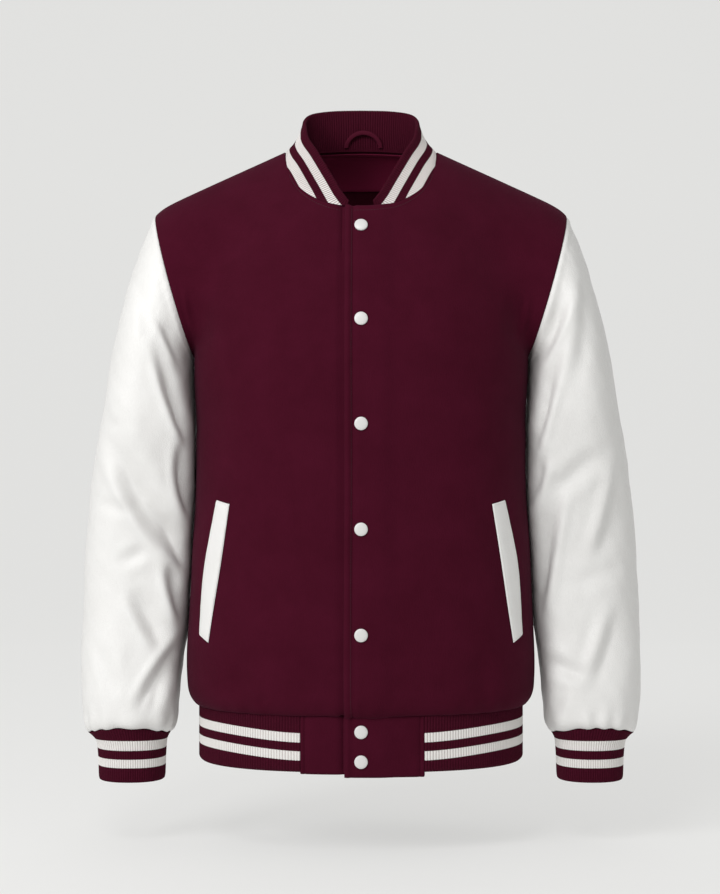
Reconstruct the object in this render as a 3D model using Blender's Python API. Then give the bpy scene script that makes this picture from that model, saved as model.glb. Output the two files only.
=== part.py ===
"""Varsity jacket: wool body, leather sleeves, striped rib trims and seven snaps.

The jacket hangs filled out and closed. Metres, +Z up, -Y is the front and +X is
the wearer's left. The origin is at the middle of the neck, level with the points
where the shoulder seams meet the collar, which is where the wearer holds it up.
"""
import functools
import math

import bmesh
import bpy
from mathutils import Vector

# Cloth and seams
SEAM_GAP = 0.0003
WOOL_WALL = 0.0022
LEATHER_WALL = 0.0018
TRIM_WALL = 0.0024
COLLAR_WALL = 0.0030
TAPE_WALL = 0.0010
WELT_WALL = 0.0016
RIB_PITCH = 0.0055
RIB_HEIGHT = 0.0007

# Body: each row is a level section, a rounded rectangle with its own four reaches
RING_POWER = 2.4
BODY_COLUMNS = ("z", "half_width", "front", "back")
BODY_SECTIONS = (
    (-0.6250, 0.1828, 0.1262, 0.1182),
    (-0.6215, 0.1884, 0.1310, 0.1230),
    (-0.6125, 0.1937, 0.1354, 0.1274),
    (-0.5980, 0.1959, 0.1376, 0.1291),
    (-0.5600, 0.1962, 0.1395, 0.1300),
    (-0.4800, 0.1925, 0.1390, 0.1275),
    (-0.3700, 0.1866, 0.1385, 0.1255),
    (-0.2350, 0.1890, 0.1422, 0.1372),
)
CHEST = len(BODY_SECTIONS) - 1

# Neck and shoulder. Each panel runs from the chest section over the shoulder line,
# and the neck is cut out of it: a half oval in front, a shallow arch at the back.
NECK_HALF_WIDTH = 0.0843
NECK_POWER = 2.25
NECK_POINT_Y = 0.003
NECK_POINT_Z = 0.001
NECK_FRONT_DROP = 0.0725
NECK_BACK_RISE = 0.009
SHOULDER_POINT_X = 0.234
SHOULDER_SLOPE = 0.453
SHOULDER_ROUNDING = 0.006
RIDGE_ROUNDING = 0.085
NECK_SHARE = 0.32

# How a panel leaves the chest section and meets the shoulder line, at the centre line
# and at the armhole: "up" and "round" are the pull of the lower end along Z and round
# the body, "in_y" and "in_z" that of the upper end.
PULL_COLUMNS = ("up", "round", "in_y", "in_z")
FRONT_PULLS = ((0.30, 0.0, 0.12, 0.0), (0.03, 0.34, 0.22, 0.03))
BACK_PULLS = ((0.34, 0.0, 0.42, 0.0), (0.03, 0.31, 0.22, 0.03))
PULL_BLEND = 2.5
# How closely the mesh's levels may crowd under the neck seam, from 0 to 1
NECK_CROWDING = 0.6

# Front closing: the wearer's left front lies over the right one
LAP_HALF_WIDTH = 0.018
LAP_FADE = 0.040
LAP_LIFT = WOOL_WALL + SEAM_GAP

# Hem band
HEM_TOP = -0.6253
HEM_RIB_END = -0.6852
TAB_END = {"right": -0.6876, "left": -0.6906}
TAB_OUTER_EDGE = {"right": 0.066, "left": 0.069}
HEM_HALF_WIDTH, HEM_FRONT, HEM_BACK = 0.1824, 0.1264, 0.1182
HEM_TUCK, HEM_TUCK_HEIGHT = 0.0017, 0.004
TAB_TUCK_HEIGHT = 0.003

# Sleeve: level sections from the biceps to the cuff seam, which arches up in front
# and behind and hangs lower at the sides. Next to the body the section is squarer,
# down to where it eases into the round of the cuff.
SLEEVE_POWER, SLEEVE_INNER_POWER = 2.2, 3.4
SLEEVE_EASE_START = 4
# Its front inner side leans against the body's rounded side, down to where they part
SLEEVE_LEAN, SLEEVE_LEAN_LEVELS = 0.0080, (2.2, 3.6)
SLEEVE_COLUMNS = ("z", "inner_x", "outer_x", "middle_y", "half_depth")
SLEEVE_SECTIONS = (
    (-0.3200, 0.1882, 0.2965, 0.004, 0.0770),
    (-0.3800, 0.1885, 0.3070, 0.010, 0.0715),
    (-0.4500, 0.1922, 0.3130, 0.014, 0.0665),
    (-0.5200, 0.1962, 0.3160, 0.008, 0.0630),
    (-0.5700, 0.2022, 0.3166, -0.002, 0.0610),
    (-0.6120, 0.2062, 0.3145, -0.012, 0.0580),
    (-0.6360, 0.2078, 0.3120, -0.018, 0.0550),
    (-0.6460, 0.2104, 0.3096, -0.020, 0.0505),
    (-0.6505, 0.2146, 0.3062, -0.021, 0.0445),
)
CUFF_ARCH, CUFF_ARCH_START = 0.0040, 5
# Largest folds: each runs from one point to another, seen from the front or the back.
# A positive depth is a hollow, a negative one a ridge.
FOLD_COLUMNS = ("start_x", "start_z", "end_x", "end_z", "half_width", "depth")
SLEEVE_FOLDS = {
    ("left", "front"): (
        (0.205, -0.206, 0.181, -0.257, 0.012, 0.0050),
        (0.206, -0.262, 0.184, -0.356, 0.012, 0.0055),
        (0.238, -0.140, 0.221, -0.272, 0.016, -0.0035),
        (0.262, -0.341, 0.214, -0.379, 0.013, 0.0035),
        (0.280, -0.352, 0.256, -0.445, 0.013, 0.0035),
        (0.214, -0.416, 0.198, -0.499, 0.012, 0.0045),
        (0.283, -0.526, 0.257, -0.592, 0.013, 0.0030),
        (0.204, -0.567, 0.241, -0.581, 0.013, 0.0020),
    ),
    ("right", "front"): (
        (0.230, -0.178, 0.184, -0.256, 0.012, 0.0045),
        (0.222, -0.233, 0.185, -0.334, 0.012, 0.0055),
        (0.196, -0.350, 0.186, -0.413, 0.012, 0.0055),
        (0.278, -0.339, 0.188, -0.459, 0.013, 0.0045),
        (0.212, -0.471, 0.199, -0.520, 0.012, 0.0045),
        (0.246, -0.509, 0.227, -0.536, 0.012, 0.0025),
        (0.205, -0.555, 0.247, -0.621, 0.013, 0.0035),
    ),
    ("left", "back"): (
        (0.216, -0.190, 0.186, -0.262, 0.013, 0.0050),
        (0.286, -0.350, 0.226, -0.372, 0.014, -0.0030),
        (0.268, -0.402, 0.205, -0.432, 0.013, 0.0040),
        (0.214, -0.540, 0.242, -0.585, 0.013, 0.0030),
    ),
    ("right", "back"): (
        (0.212, -0.198, 0.184, -0.270, 0.013, 0.0050),
        (0.262, -0.372, 0.205, -0.352, 0.013, 0.0040),
        (0.280, -0.420, 0.222, -0.446, 0.014, -0.0030),
        (0.226, -0.600, 0.252, -0.566, 0.013, 0.0030),
    ),
}
SLEEVE_HEAD_DIRECTION = Vector((0.42, 0.0, -0.90))
UNDERARM_DIRECTION = Vector((0.90, 0.0, -0.35))
SLEEVE_SIDE_SPREAD = 0.22
UNDERARM_PULL = 0.009

# Cuff
CUFF_COLUMNS = ("z", "inner_x", "outer_x", "half_depth")
CUFF_SECTIONS = (
    (-0.6508, 0.2146, 0.3062, 0.0445),
    (-0.6630, 0.2188, 0.2974, 0.0395),
    (-0.6800, 0.2202, 0.2948, 0.0375),
    (-0.7042, 0.2212, 0.2938, 0.0370),
    (-0.7072, 0.2236, 0.2914, 0.0346),
)
CUFF_MIDDLE_Y = -0.021

# Collar: its upper edge from the front end to the centre back, and the place on the
# neck seam, in degrees from centre front, that lies square below each point of it
COLLAR_COLUMNS = ("x", "y", "z", "neck_turn")
COLLAR_EDGE = (
    (0.0140, -0.0858, -0.0662, 9.0),
    (0.0222, -0.0785, -0.0558, 27.5),
    (0.0320, -0.0670, -0.0385, 43.6),
    (0.0502, -0.0460, -0.0065, 66.0),
    (0.0610, -0.0260, 0.0115, 80.6),
    (0.0650, -0.0020, 0.0280, 97.0),
    (0.0652, 0.0230, 0.0395, 115.0),
    (0.0575, 0.0460, 0.0485, 135.0),
    (0.0340, 0.0610, 0.0540, 157.0),
    (0.0000, 0.0650, 0.0555, 180.0),
)
COLLAR_SAG = 0.05
COLLAR_SEAM_GAP = 0.0006
COLLAR_LEVELS = (0.0, 0.4, 0.8, 1.0)
COLLAR_BACK_HEIGHT = 0.050

# Snaps: height of each cap's centre
SNAP_HEIGHTS = (-0.095, -0.198, -0.310, -0.423, -0.536, -0.641, -0.673)
SNAP_RADIUS = 0.0072
SNAP_HEIGHT = 0.0030
SNAP_SIDES = 16
# Shares of the cap's radius and height, from its foot to its domed top
SNAP_PROFILE = ((0.88, 0.0), (1.0, 0.30), (0.90, 0.66), (0.52, 0.93))

# Pocket welts: a row for each end and the middle, with the edges' distance from the centre
WELT_GAP = 0.0006
WELT_COLUMNS = ("front_x", "front_z", "side_x", "side_z")
WELT_ROWS = (
    (0.1420, -0.397, 0.1570, -0.3930),
    (0.1535, -0.470, 0.1715, -0.4670),
    (0.1660, -0.549, 0.1765, -0.5415),
)
WELT_STEPS = 6

# Hanger loop and neck tape
LOOP_MIDDLE_X = 0.003
LOOP_HALF_WIDTH = 0.0205
LOOP_FOOT, LOOP_RISE = 0.0035, 0.0175
LOOP_BAND, LOOP_WALL, LOOP_STANDOFF = 0.0050, 0.0020, 0.0035
LOOP_STEPS = 12
TAPE_TOP = 0.0022
FACING_ROWS = 6
INSIDE_GAP = 0.0006

# Meshes: places across a half panel, up the side of the body and up the armhole
FRONT_LAP = LAP_HALF_WIDTH / (BODY_SECTIONS[CHEST][1] * math.pi / 2)
LAP_TURN = math.degrees(math.asin(FRONT_LAP / NECK_SHARE))
NECK_TURNS = (0.0, LAP_TURN, 26.0, 45.0, 62.0, 78.0, 90.0)
SHOULDER_PLACES = (0.42, 0.54, 0.66, 0.78, 0.90, 1.0)
SIDE_LEVELS = (0, 1, 2, 3, 3.5, 4, 4.5, 5, 5.5, 6, 6.5, 7)
ARMHOLE_LEVELS = (0.06, 0.13, 0.21, 0.30, 0.40, 0.50, 0.60, 0.70, 0.79, 0.87, 0.94, 1.0)
SLEEVE_HEAD_LEVELS = (0.0, 0.08, 0.2, 0.34, 0.5, 0.66, 0.82)
SLEEVE_LEVELS = (0, 0.5, 1, 1.5, 2, 2.5, 3, 3.5, 4, 4.5, 5, 6, 7, 8)
HALVINGS = 40
NORMAL_STEP = 0.004

# Each material's colour and roughness
MATERIALS = {
    "wool": ((0.050, 0.004, 0.013), 0.9),
    "leather": ((0.78, 0.77, 0.75), 0.45),
    "rib_knit": ((0.040, 0.004, 0.010), 0.95),
    "snap_enamel": ((0.82, 0.82, 0.80), 0.3),
    "tape": ((0.050, 0.005, 0.013), 0.8),
    "lining": ((0.045, 0.004, 0.012), 0.7),
}


def spline(rows, place):
    """Read a table between its rows on a smooth curve through them."""
    last = len(rows) - 1
    start = min(max(int(math.floor(place)), 0), last - 1)
    t = place - start
    before, after = rows[max(start - 1, 0)], rows[min(start + 2, last)]
    result = []
    for a, b, c, d in zip(before, rows[start], rows[start + 1], after):
        pull_in, pull_out = (c - a) / 2, (d - b) / 2
        result.append(hermite(b, c, pull_in, pull_out, t))
    return result


def hermite(start, end, pull_in, pull_out, t):
    return (
        start * (2 * t ** 3 - 3 * t ** 2 + 1)
        + end * (3 * t ** 2 - 2 * t ** 3)
        + pull_in * (t ** 3 - 2 * t ** 2 + t)
        + pull_out * (t ** 3 - t ** 2)
    )


def mix(a, b, share):
    return a + (b - a) * share


def smooth(low, high, value):
    t = min(max((value - low) / (high - low), 0.0), 1.0)
    return t * t * (3 - 2 * t)


def last_before(low, high, is_before):
    """Last place between low and high at which is_before still holds, found by halving."""
    for _ in range(HALVINGS):
        middle = (low + high) / 2
        if is_before(middle):
            low = middle
        else:
            high = middle
    return low


def ring(turn, half_width, front, back, power=RING_POWER):
    """Point on a level section; turn is 0 at centre front and 180 at centre back."""
    side, ahead = math.sin(math.radians(turn)), math.cos(math.radians(turn))
    reach = (abs(side) ** power + abs(ahead) ** power) ** (-1 / power)
    depth = front if ahead > 0 else back
    return Vector((half_width * reach * side, -depth * reach * ahead, 0.0))


def body_ring(turn, level):
    z, half_width, front, back = spline(BODY_SECTIONS, level)
    point = ring(turn, half_width, front, back)
    point.z = z
    return point


def shoulder_line(across):
    """Ridge that the panels run over: straight to the armhole, rounded within the neck."""
    end = SHOULDER_POINT_X
    # Quadratic in across that is 0 at the centre, the neck point's x and the shoulder point's x
    bend = (end * NECK_SHARE - NECK_HALF_WIDTH) / (NECK_SHARE - NECK_SHARE ** 2)
    x = (end - bend) * across + bend * across ** 2
    run = x if x > RIDGE_ROUNDING else (RIDGE_ROUNDING + x ** 2 / RIDGE_ROUNDING) / 2
    fall = SHOULDER_SLOPE * (run - NECK_HALF_WIDTH) + SHOULDER_ROUNDING * across ** 24
    return Vector((x, NECK_POINT_Y, NECK_POINT_Z - fall))


def skin(front, across, level):
    """Smooth form under a half panel: the body's sections, then over the shoulder line."""
    if across < 0:
        point = skin(front, -across, level)
        point.x = -point.x
        return point
    turn = 90 * across if front else 180 - 90 * across
    if level <= CHEST:
        return body_ring(turn, level)
    start, end = body_ring(turn, CHEST), shoulder_line(across)
    centre, armhole_end = FRONT_PULLS if front else BACK_PULLS
    share = across ** PULL_BLEND
    up, round_body, in_y, in_z = (mix(a, b, share) for a, b in zip(centre, armhole_end))
    toward_centre = (body_ring(turn + (-1 if front else 1), CHEST) - start).normalized()
    pull_in = Vector((0, 0, up)) + toward_centre * round_body
    pull_out = Vector((0, in_y if front else -in_y, in_z))
    return hermite(start, end, pull_in, pull_out, level - CHEST)


def in_neck(front, point):
    sideways, above = point.x / NECK_HALF_WIDTH, point.z - NECK_POINT_Z
    if front:
        return abs(sideways) ** NECK_POWER + abs(above / NECK_FRONT_DROP) ** NECK_POWER < 1
    return above > NECK_BACK_RISE * (1 - sideways ** 2)


@functools.lru_cache(maxsize=None)
def top_level(front, across):
    """Level at which a panel ends: on the neck seam, or at the shoulder line past it."""
    if abs(across) >= NECK_SHARE:
        return CHEST + 1.0
    outside = lambda level: not in_neck(front, skin(front, across, level))
    return last_before(float(CHEST), CHEST + 1.0, outside)


def skin_level(front, across, level):
    """Turn a panel's own level, which ends at its top edge, into the skin's."""
    short = CHEST + 1.0 - top_level(front, across)
    if level <= CHEST or short < 1e-6:
        return level
    rise = level - CHEST
    return level - short * rise ** (NECK_CROWDING / short)


def panel(front, across, level):
    return skin(front, across, skin_level(front, across, level))


def panel_normal(front, across, level):
    """Unit normal of a panel, pointing out of the jacket."""
    normal = facing_out(lambda a, b: skin(front, a, b), across, skin_level(front, across, level))
    return normal if front else -normal


def neck_place(turn):
    """Place across a panel whose top edge is at a turn of the neck, up to 90 at the shoulder."""
    return NECK_SHARE * math.sin(math.radians(turn))


def facing_out(surface, a, b):
    """Unit normal of surface(a, b), pointing away from the inside of the jacket."""
    along_a = surface(a + NORMAL_STEP, b) - surface(a - NORMAL_STEP, b)
    along_b = surface(a, b + NORMAL_STEP) - surface(a, b - NORMAL_STEP)
    return along_a.cross(along_b).normalized()


def solid(name, outer, inner, closed, material):
    """Wall between two grids of points, as one closed body.

    A grid is a list of rows. The inner rows may have fewer columns, by a whole
    number, and the rims then fan between the two. A closed wall is a tube.
    """
    mesh = bmesh.new()
    outer_verts = [[mesh.verts.new(point) for point in row] for row in outer]
    inner_verts = [[mesh.verts.new(point) for point in row] for row in inner]
    for verts in (outer_verts, inner_verts):
        for low, high in zip(verts, verts[1:]):
            for start in range(len(low) if closed else len(low) - 1):
                after = (start + 1) % len(low)
                mesh.faces.new((low[start], low[after], high[after]))
                mesh.faces.new((low[start], high[after], high[start]))
    for row in (0, -1):
        rim_out, rim_in = outer_verts[row], inner_verts[row]
        spans = len(rim_in) if closed else len(rim_in) - 1
        step = (len(rim_out) if closed else len(rim_out) - 1) // spans
        for span in range(spans):
            here, after = rim_in[span], rim_in[(span + 1) % len(rim_in)]
            for part in range(step):
                left = rim_out[(span * step + part) % len(rim_out)]
                right = rim_out[(span * step + part + 1) % len(rim_out)]
                pivot = here if part < step / 2 else after
                mesh.faces.new((left, right, pivot))
                if part == max(math.ceil(step / 2) - 1, 0):
                    mesh.faces.new((right, after, here))
    if not closed:
        for column in (0, -1):
            for low in range(len(outer) - 1):
                mesh.faces.new((
                    outer_verts[low][column], outer_verts[low + 1][column],
                    inner_verts[low + 1][column], inner_verts[low][column],
                ))
    return finish(name, mesh, material)


def finish(name, mesh, material):
    bmesh.ops.recalc_face_normals(mesh, faces=mesh.faces)
    if mesh.calc_volume(signed=True) < 0:
        bmesh.ops.reverse_faces(mesh, faces=mesh.faces)
    data = bpy.data.meshes.new(name)
    mesh.to_mesh(data)
    mesh.free()
    data.materials.append(material)
    data.shade_smooth()
    data.set_sharp_from_angle(angle=math.radians(40))
    thing = bpy.data.objects.new(name, data)
    bpy.context.collection.objects.link(thing)
    return thing


def surface_material(name):
    colour, roughness = MATERIALS[name]
    material = bpy.data.materials.new(name)
    material.use_nodes = True
    shader = material.node_tree.nodes["Principled BSDF"]
    shader.inputs["Base Color"].default_value = (*colour, 1.0)
    shader.inputs["Roughness"].default_value = roughness
    return material


def mirrored(point, side):
    return Vector((point.x * side, point.y, point.z))


def lap_lift(x):
    """How far the upper front stands out over the lower one."""
    return LAP_LIFT * (1 - smooth(LAP_HALF_WIDTH + 0.001, LAP_FADE, x))


def panel_layers(front, across_places, levels, wall, lift=None):
    """Outer and inner grids of a wool panel, with half a seam gap off each seam."""
    outer, inner = [], []
    for level in levels:
        out_row, in_row = [], []
        for across in across_places:
            point = panel(front, across, level)
            normal = panel_normal(front, across, level)
            on_side = abs(across) == 1 and level <= CHEST
            on_shoulder = level == levels[-1] and abs(across) >= NECK_SHARE
            if on_side or on_shoulder:
                normal.y = 0
                normal.normalize()
                point.y += (-0.5 if front else 0.5) * SEAM_GAP
            if level == levels[0]:
                normal.z = 0
                normal.normalize()
            if lift:
                point = point + normal * lift(point.x)
            out_row.append(point)
            in_row.append(point - normal * wall)
        outer.append(out_row)
        inner.append(in_row)
    return outer, inner


def body_levels():
    return [float(level) for level in SIDE_LEVELS] + [CHEST + rise for rise in ARMHOLE_LEVELS]


def make_fronts(wool):
    levels = body_levels()
    across = (-FRONT_LAP, *(neck_place(turn) for turn in NECK_TURNS), *SHOULDER_PLACES)
    for name, side, lift in (("front_left", 1, lap_lift), ("front_right", -1, None)):
        outer, inner = panel_layers(True, across, levels, WOOL_WALL, lift)
        outer = [[mirrored(point, side) for point in row] for row in outer]
        inner = [[mirrored(point, side) for point in row] for row in inner]
        solid(name, outer, inner, False, wool)


def make_back(wool):
    half = (*(neck_place(turn) for turn in NECK_TURNS[1:]), *SHOULDER_PLACES)
    across = [-place for place in reversed(half)] + [0.0] + list(half)
    outer, inner = panel_layers(False, across, body_levels(), WOOL_WALL)
    solid("back", outer, inner, False, wool)
    neck = [index for index, place in enumerate(across) if abs(place) <= NECK_SHARE]
    inward = [[(b - a).normalized() for a, b in zip(*pair)] for pair in zip(outer, inner)]
    return [[(row[index], way[index]) for index in neck] for row, way in zip(inner, inward)]


def armhole(turn):
    """Armhole seam: 0 and 2 are the underarm, 1 is the shoulder, the front comes first."""
    if turn <= 1:
        return panel(True, 1.0, CHEST + turn)
    return panel(False, 1.0, CHEST + 2 - turn)


def armhole_normal(turn):
    """Outward normal of the body at the armhole seam."""
    front = turn <= 1
    level = CHEST + (turn if front else 2 - turn)
    normal = panel_normal(front, 1.0, level)
    if level == CHEST + 1:
        normal.y = 0
    return normal.normalized()


def cuff_arch(ahead):
    """Rise of the cuff seam, from +1 arch in front and behind to -1 arch at the sides."""
    return CUFF_ARCH * (2 * ahead ** 2 - 1)


def sleeve_ring(turn, level):
    z, inner_x, outer_x, middle_y, half_depth = spline(SLEEVE_SECTIONS, level)
    power = SLEEVE_POWER
    if not 0.5 <= turn % 2 <= 1.5:
        power = mix(SLEEVE_INNER_POWER, power, smooth(SLEEVE_EASE_START, len(SLEEVE_SECTIONS) - 1, level))
    point = ring(-90 + 180 * turn, (outer_x - inner_x) / 2, half_depth, half_depth, power)
    if point.x < 0 and point.y < 0:
        leaning = SLEEVE_LEAN * (1 - smooth(*SLEEVE_LEAN_LEVELS, level))
        point.x -= leaning * (point.y / half_depth) ** 2 * -2 * point.x / (outer_x - inner_x)
    arched = smooth(CUFF_ARCH_START, len(SLEEVE_SECTIONS) - 1, level)
    z += cuff_arch(point.y / half_depth) * arched
    return Vector(((inner_x + outer_x) / 2 + point.x, middle_y + point.y, z))


def sleeve(turn, level):
    """Outer face of the wearer's left sleeve; level -1 is the armhole, 0 the biceps."""
    turn = turn % 2
    if level >= 0:
        return sleeve_ring(turn, level)
    start, end = armhole(turn), sleeve_ring(turn, 0)
    to_top = (1 - math.cos(math.pi * turn)) / 2
    direction = UNDERARM_DIRECTION.lerp(SLEEVE_HEAD_DIRECTION, to_top)
    direction.y -= SLEEVE_SIDE_SPREAD * math.sin(math.pi * turn)
    direction.normalize()
    start = start + direction * SEAM_GAP
    reach = (end - start).length
    pull_in = direction * mix(UNDERARM_PULL, reach * 1.05, to_top ** 0.5)
    pull_out = Vector((0, 0, -reach))
    return hermite(start, end, pull_in, pull_out, level + 1)


def fold_depth(point, outward, side):
    """How far the cloth sinks at a point, from the folds on the face it looks out of."""
    face = "front" if outward.y < 0 else "back"
    sunk = 0.0
    for start_x, start_z, end_x, end_z, half_width, depth in SLEEVE_FOLDS[side, face]:
        run_x, run_z = end_x - start_x, end_z - start_z
        along = ((point.x - start_x) * run_x + (point.z - start_z) * run_z) / (run_x ** 2 + run_z ** 2)
        nearest = min(max(along, 0.0), 1.0)
        away = math.hypot(point.x - start_x - nearest * run_x, point.z - start_z - nearest * run_z)
        sunk += depth * math.exp(-(away / half_width) ** 2)
    return sunk * abs(outward.y)


def make_sleeves(leather):
    turns = [0.0] + list(ARMHOLE_LEVELS) + [2 - rise for rise in reversed(ARMHOLE_LEVELS[:-1])]
    levels = [head - 1 for head in SLEEVE_HEAD_LEVELS] + [float(level) for level in SLEEVE_LEVELS]
    for key, side in (("left", 1), ("right", -1)):
        outer, inner = [], []
        for level in levels:
            out_row, in_row = [], []
            for turn in turns:
                point = sleeve(turn, level)
                normal = facing_out(sleeve, turn, level)
                if level == levels[0]:
                    to_top = (1 - math.cos(math.pi * turn)) / 2
                    normal = normal.lerp(-armhole_normal(turn), to_top).normalized()
                if 0 < levels.index(level) < len(levels) - 2:
                    point = point + normal * fold_depth(point, -normal, key)
                out_row.append(mirrored(point, side))
                in_row.append(mirrored(point + normal * LEATHER_WALL, side))
            outer.append(out_row)
            inner.append(in_row)
        solid(f"sleeve_{key}", outer, inner, True, leather)


def rib_rows(surface, columns, levels, wall, sewn=None, coarse=4):
    """Ribs raised in the outer points of a knit wall over a plain, coarser inside.

    The ribs lie flat along the level where the wall is sewn down, if one is given.
    """
    outer, inner = [], []
    for level in levels:
        out_row, in_row = [], []
        for index, column in enumerate(columns):
            point, normal = surface(column, level)
            raised = RIB_HEIGHT if index % 2 and level != sewn else 0.0
            out_row.append(point + normal * raised)
            if index % coarse == 0:
                in_row.append(point - normal * wall)
        outer.append(out_row)
        inner.append(in_row)
    return outer, inner


def make_cuffs(knit):
    def cuff(turn, level):
        z, inner_x, outer_x, half_depth = spline(CUFF_SECTIONS, level)
        half_width = (outer_x - inner_x) / 2
        point = ring(turn, half_width, half_depth, half_depth, SLEEVE_POWER)
        normal = Vector((point.x / half_width ** 2, point.y / half_depth ** 2, 0)).normalized()
        z += cuff_arch(point.y / half_depth) * max(1 - level, 0)
        centre = Vector(((inner_x + outer_x) / 2, CUFF_MIDDLE_Y, z))
        return centre + point, normal

    top = CUFF_SECTIONS[0]
    girth = math.pi * ((top[2] - top[1]) / 2 + top[3])
    count = 8 * round(girth / RIB_PITCH / 4)
    turns = [360 * index / count for index in range(count)]
    levels = range(len(CUFF_SECTIONS))
    for name, side in (("cuff_left", 1), ("cuff_right", -1)):
        outer, inner = rib_rows(cuff, turns, levels, TRIM_WALL)
        outer = [[mirrored(point, side) for point in row] for row in outer]
        inner = [[mirrored(point, side) for point in row] for row in inner]
        solid(name, outer, inner, True, knit)


def hem_point(turn, z, end):
    """Hem band's outer face and normal; it turns in a little at its lower edge."""
    tuck = HEM_TUCK * (1 - smooth(0.0, HEM_TUCK_HEIGHT, z - end))
    point = ring(turn, HEM_HALF_WIDTH, HEM_FRONT, HEM_BACK)
    ahead = ring(turn + 0.5, HEM_HALF_WIDTH, HEM_FRONT, HEM_BACK)
    behind = ring(turn - 0.5, HEM_HALF_WIDTH, HEM_FRONT, HEM_BACK)
    along = ahead - behind
    normal = Vector((-along.y, along.x, 0)).normalized()
    if normal.dot(point) < 0:
        normal = -normal
    return Vector((point.x, point.y, z)) - normal * tuck, normal


def hem_turn(x):
    """Turn at which the hem band's front reaches x."""
    short_of_x = lambda turn: ring(turn, HEM_HALF_WIDTH, HEM_FRONT, HEM_BACK).x < x
    return last_before(0.0, 90.0, short_of_x)


def make_hem(knit, wool):
    gap = math.degrees(SEAM_GAP / HEM_FRONT)
    start = hem_turn(TAB_OUTER_EDGE["left"]) + gap
    stop = 360 - hem_turn(TAB_OUTER_EDGE["right"]) - gap
    girth = 2 * math.pi * (HEM_HALF_WIDTH + HEM_FRONT) / 2 * (stop - start) / 360
    count = 8 * round(girth / RIB_PITCH / 4)
    turns = [mix(start, stop, index / count) for index in range(count + 1)]
    levels = (HEM_TOP, HEM_RIB_END + HEM_TUCK_HEIGHT, HEM_RIB_END)
    outer, inner = rib_rows(lambda turn, z: hem_point(turn, z, HEM_RIB_END), turns, levels, TRIM_WALL)
    solid("hem_rib", outer, inner, False, knit)
    for name, key, side in (("hem_tab_left", "left", 1), ("hem_tab_right", "right", -1)):
        lap = -hem_turn(LAP_HALF_WIDTH)
        edge = hem_turn(TAB_OUTER_EDGE[key])
        fade = hem_turn(LAP_FADE)
        turns = (lap, 0.0, -lap, fade, mix(fade, edge, 0.5), edge)
        end = TAB_END[key]
        outer, inner = [], []
        for z in (HEM_TOP, mix(HEM_TOP, end, 0.5), end + TAB_TUCK_HEIGHT, end):
            out_row, in_row = [], []
            for turn in turns:
                point, normal = hem_point(turn, z, end)
                if key == "left":
                    point = point + normal * lap_lift(point.x)
                out_row.append(mirrored(point, side))
                in_row.append(mirrored(point - normal * WOOL_WALL, side))
            outer.append(out_row)
            inner.append(in_row)
        solid(name, outer, inner, False, wool)


def neck_polyline(turn):
    """Neck seam as the panels' mesh has it; turn is 0 at centre front, 180 at the back."""
    front = turn <= 90
    local = turn if front else 180 - turn
    stops = NECK_TURNS
    for low, high in zip(stops, stops[1:]):
        if local <= high:
            a, b = (panel(front, neck_place(stop), CHEST + 1.0) for stop in (low, high))
            return a.lerp(b, (local - low) / (high - low))
    return panel(front, NECK_SHARE, CHEST + 1.0)


def collar(place, down):
    """Collar's outer face: place over the edge table's rows, down 0 at its upper edge."""
    side = 1
    if place < 0:
        side, place = -1, -place
    x, y, z, turn = spline(COLLAR_EDGE, place)
    upper = Vector((x, y, z))
    lower = neck_polyline(min(turn, 180.0))
    lower = lower + (upper - lower).normalized() * COLLAR_SEAM_GAP
    sag = COLLAR_SAG * (upper - lower).length * 4 * down * (1 - down)
    across = Vector((lower.x, lower.y, 0)).normalized()
    point = upper.lerp(lower, down) - across * sag
    return Vector((point.x * side, point.y, point.z))


def collar_side(place, down):
    """Collar point and outward normal for a place from 0, front right, to 2, front left."""
    last = len(COLLAR_EDGE) - 1

    def face(along, drop):
        if along <= 1:
            point = collar(along * last, drop)
            return Vector((-point.x, point.y, point.z))
        return collar((2 - along) * last, drop)

    step = 0.01
    low, high = max(place - step, 0.0), min(place + step, 2.0)
    top, bottom = max(down - 0.1, 0.0), min(down + 0.1, 1.0)
    along = face(high, down) - face(low, down)
    drop = face(place, bottom) - face(place, top)
    normal = along.cross(drop).normalized()
    point = face(place, down)
    if normal.dot(Vector((point.x, point.y, 0))) < 0:
        normal = -normal
    return point, normal


def make_collar(knit):
    length = 0.0
    last = len(COLLAR_EDGE) - 1
    for index in range(last):
        here, after = Vector(COLLAR_EDGE[index][:3]), Vector(COLLAR_EDGE[index + 1][:3])
        length += 2 * (after - here).length
    count = 8 * round(length / RIB_PITCH / 4)
    places = [2 * index / count for index in range(count + 1)]
    outer, inner = rib_rows(collar_side, places, COLLAR_LEVELS, COLLAR_WALL, sewn=1.0)
    solid("collar", outer, inner, False, knit)


def make_welts(leather):
    for name, side in (("pocket_welt_left", 1), ("pocket_welt_right", -1)):
        outer, inner = [], []
        for step in range(WELT_STEPS + 1):
            place = (len(WELT_ROWS) - 1) * step / WELT_STEPS
            front_x, front_z, side_x, side_z = spline(WELT_ROWS, place)
            front_turn, side_turn = turn_at(front_x, front_z), turn_at(side_x, side_z)
            out_row, in_row = [], []
            for share in (0.0, 0.5, 1.0):
                turn, z = mix(front_turn, side_turn, share), mix(front_z, side_z, share)
                point, normal = body_at(turn, z)
                out_row.append(mirrored(point + normal * (WELT_GAP + WELT_WALL), side))
                in_row.append(mirrored(point + normal * WELT_GAP, side))
            outer.append(out_row)
            inner.append(in_row)
        solid(name, outer, inner, False, leather)


def level_at(z):
    return last_before(0.0, float(CHEST), lambda level: spline(BODY_SECTIONS, level)[0] < z)


def turn_at(x, z):
    """Turn at which the body's front reaches x at a height below the chest."""
    level = level_at(z)
    return last_before(0.0, 90.0, lambda turn: body_ring(turn, level).x < x)


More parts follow.
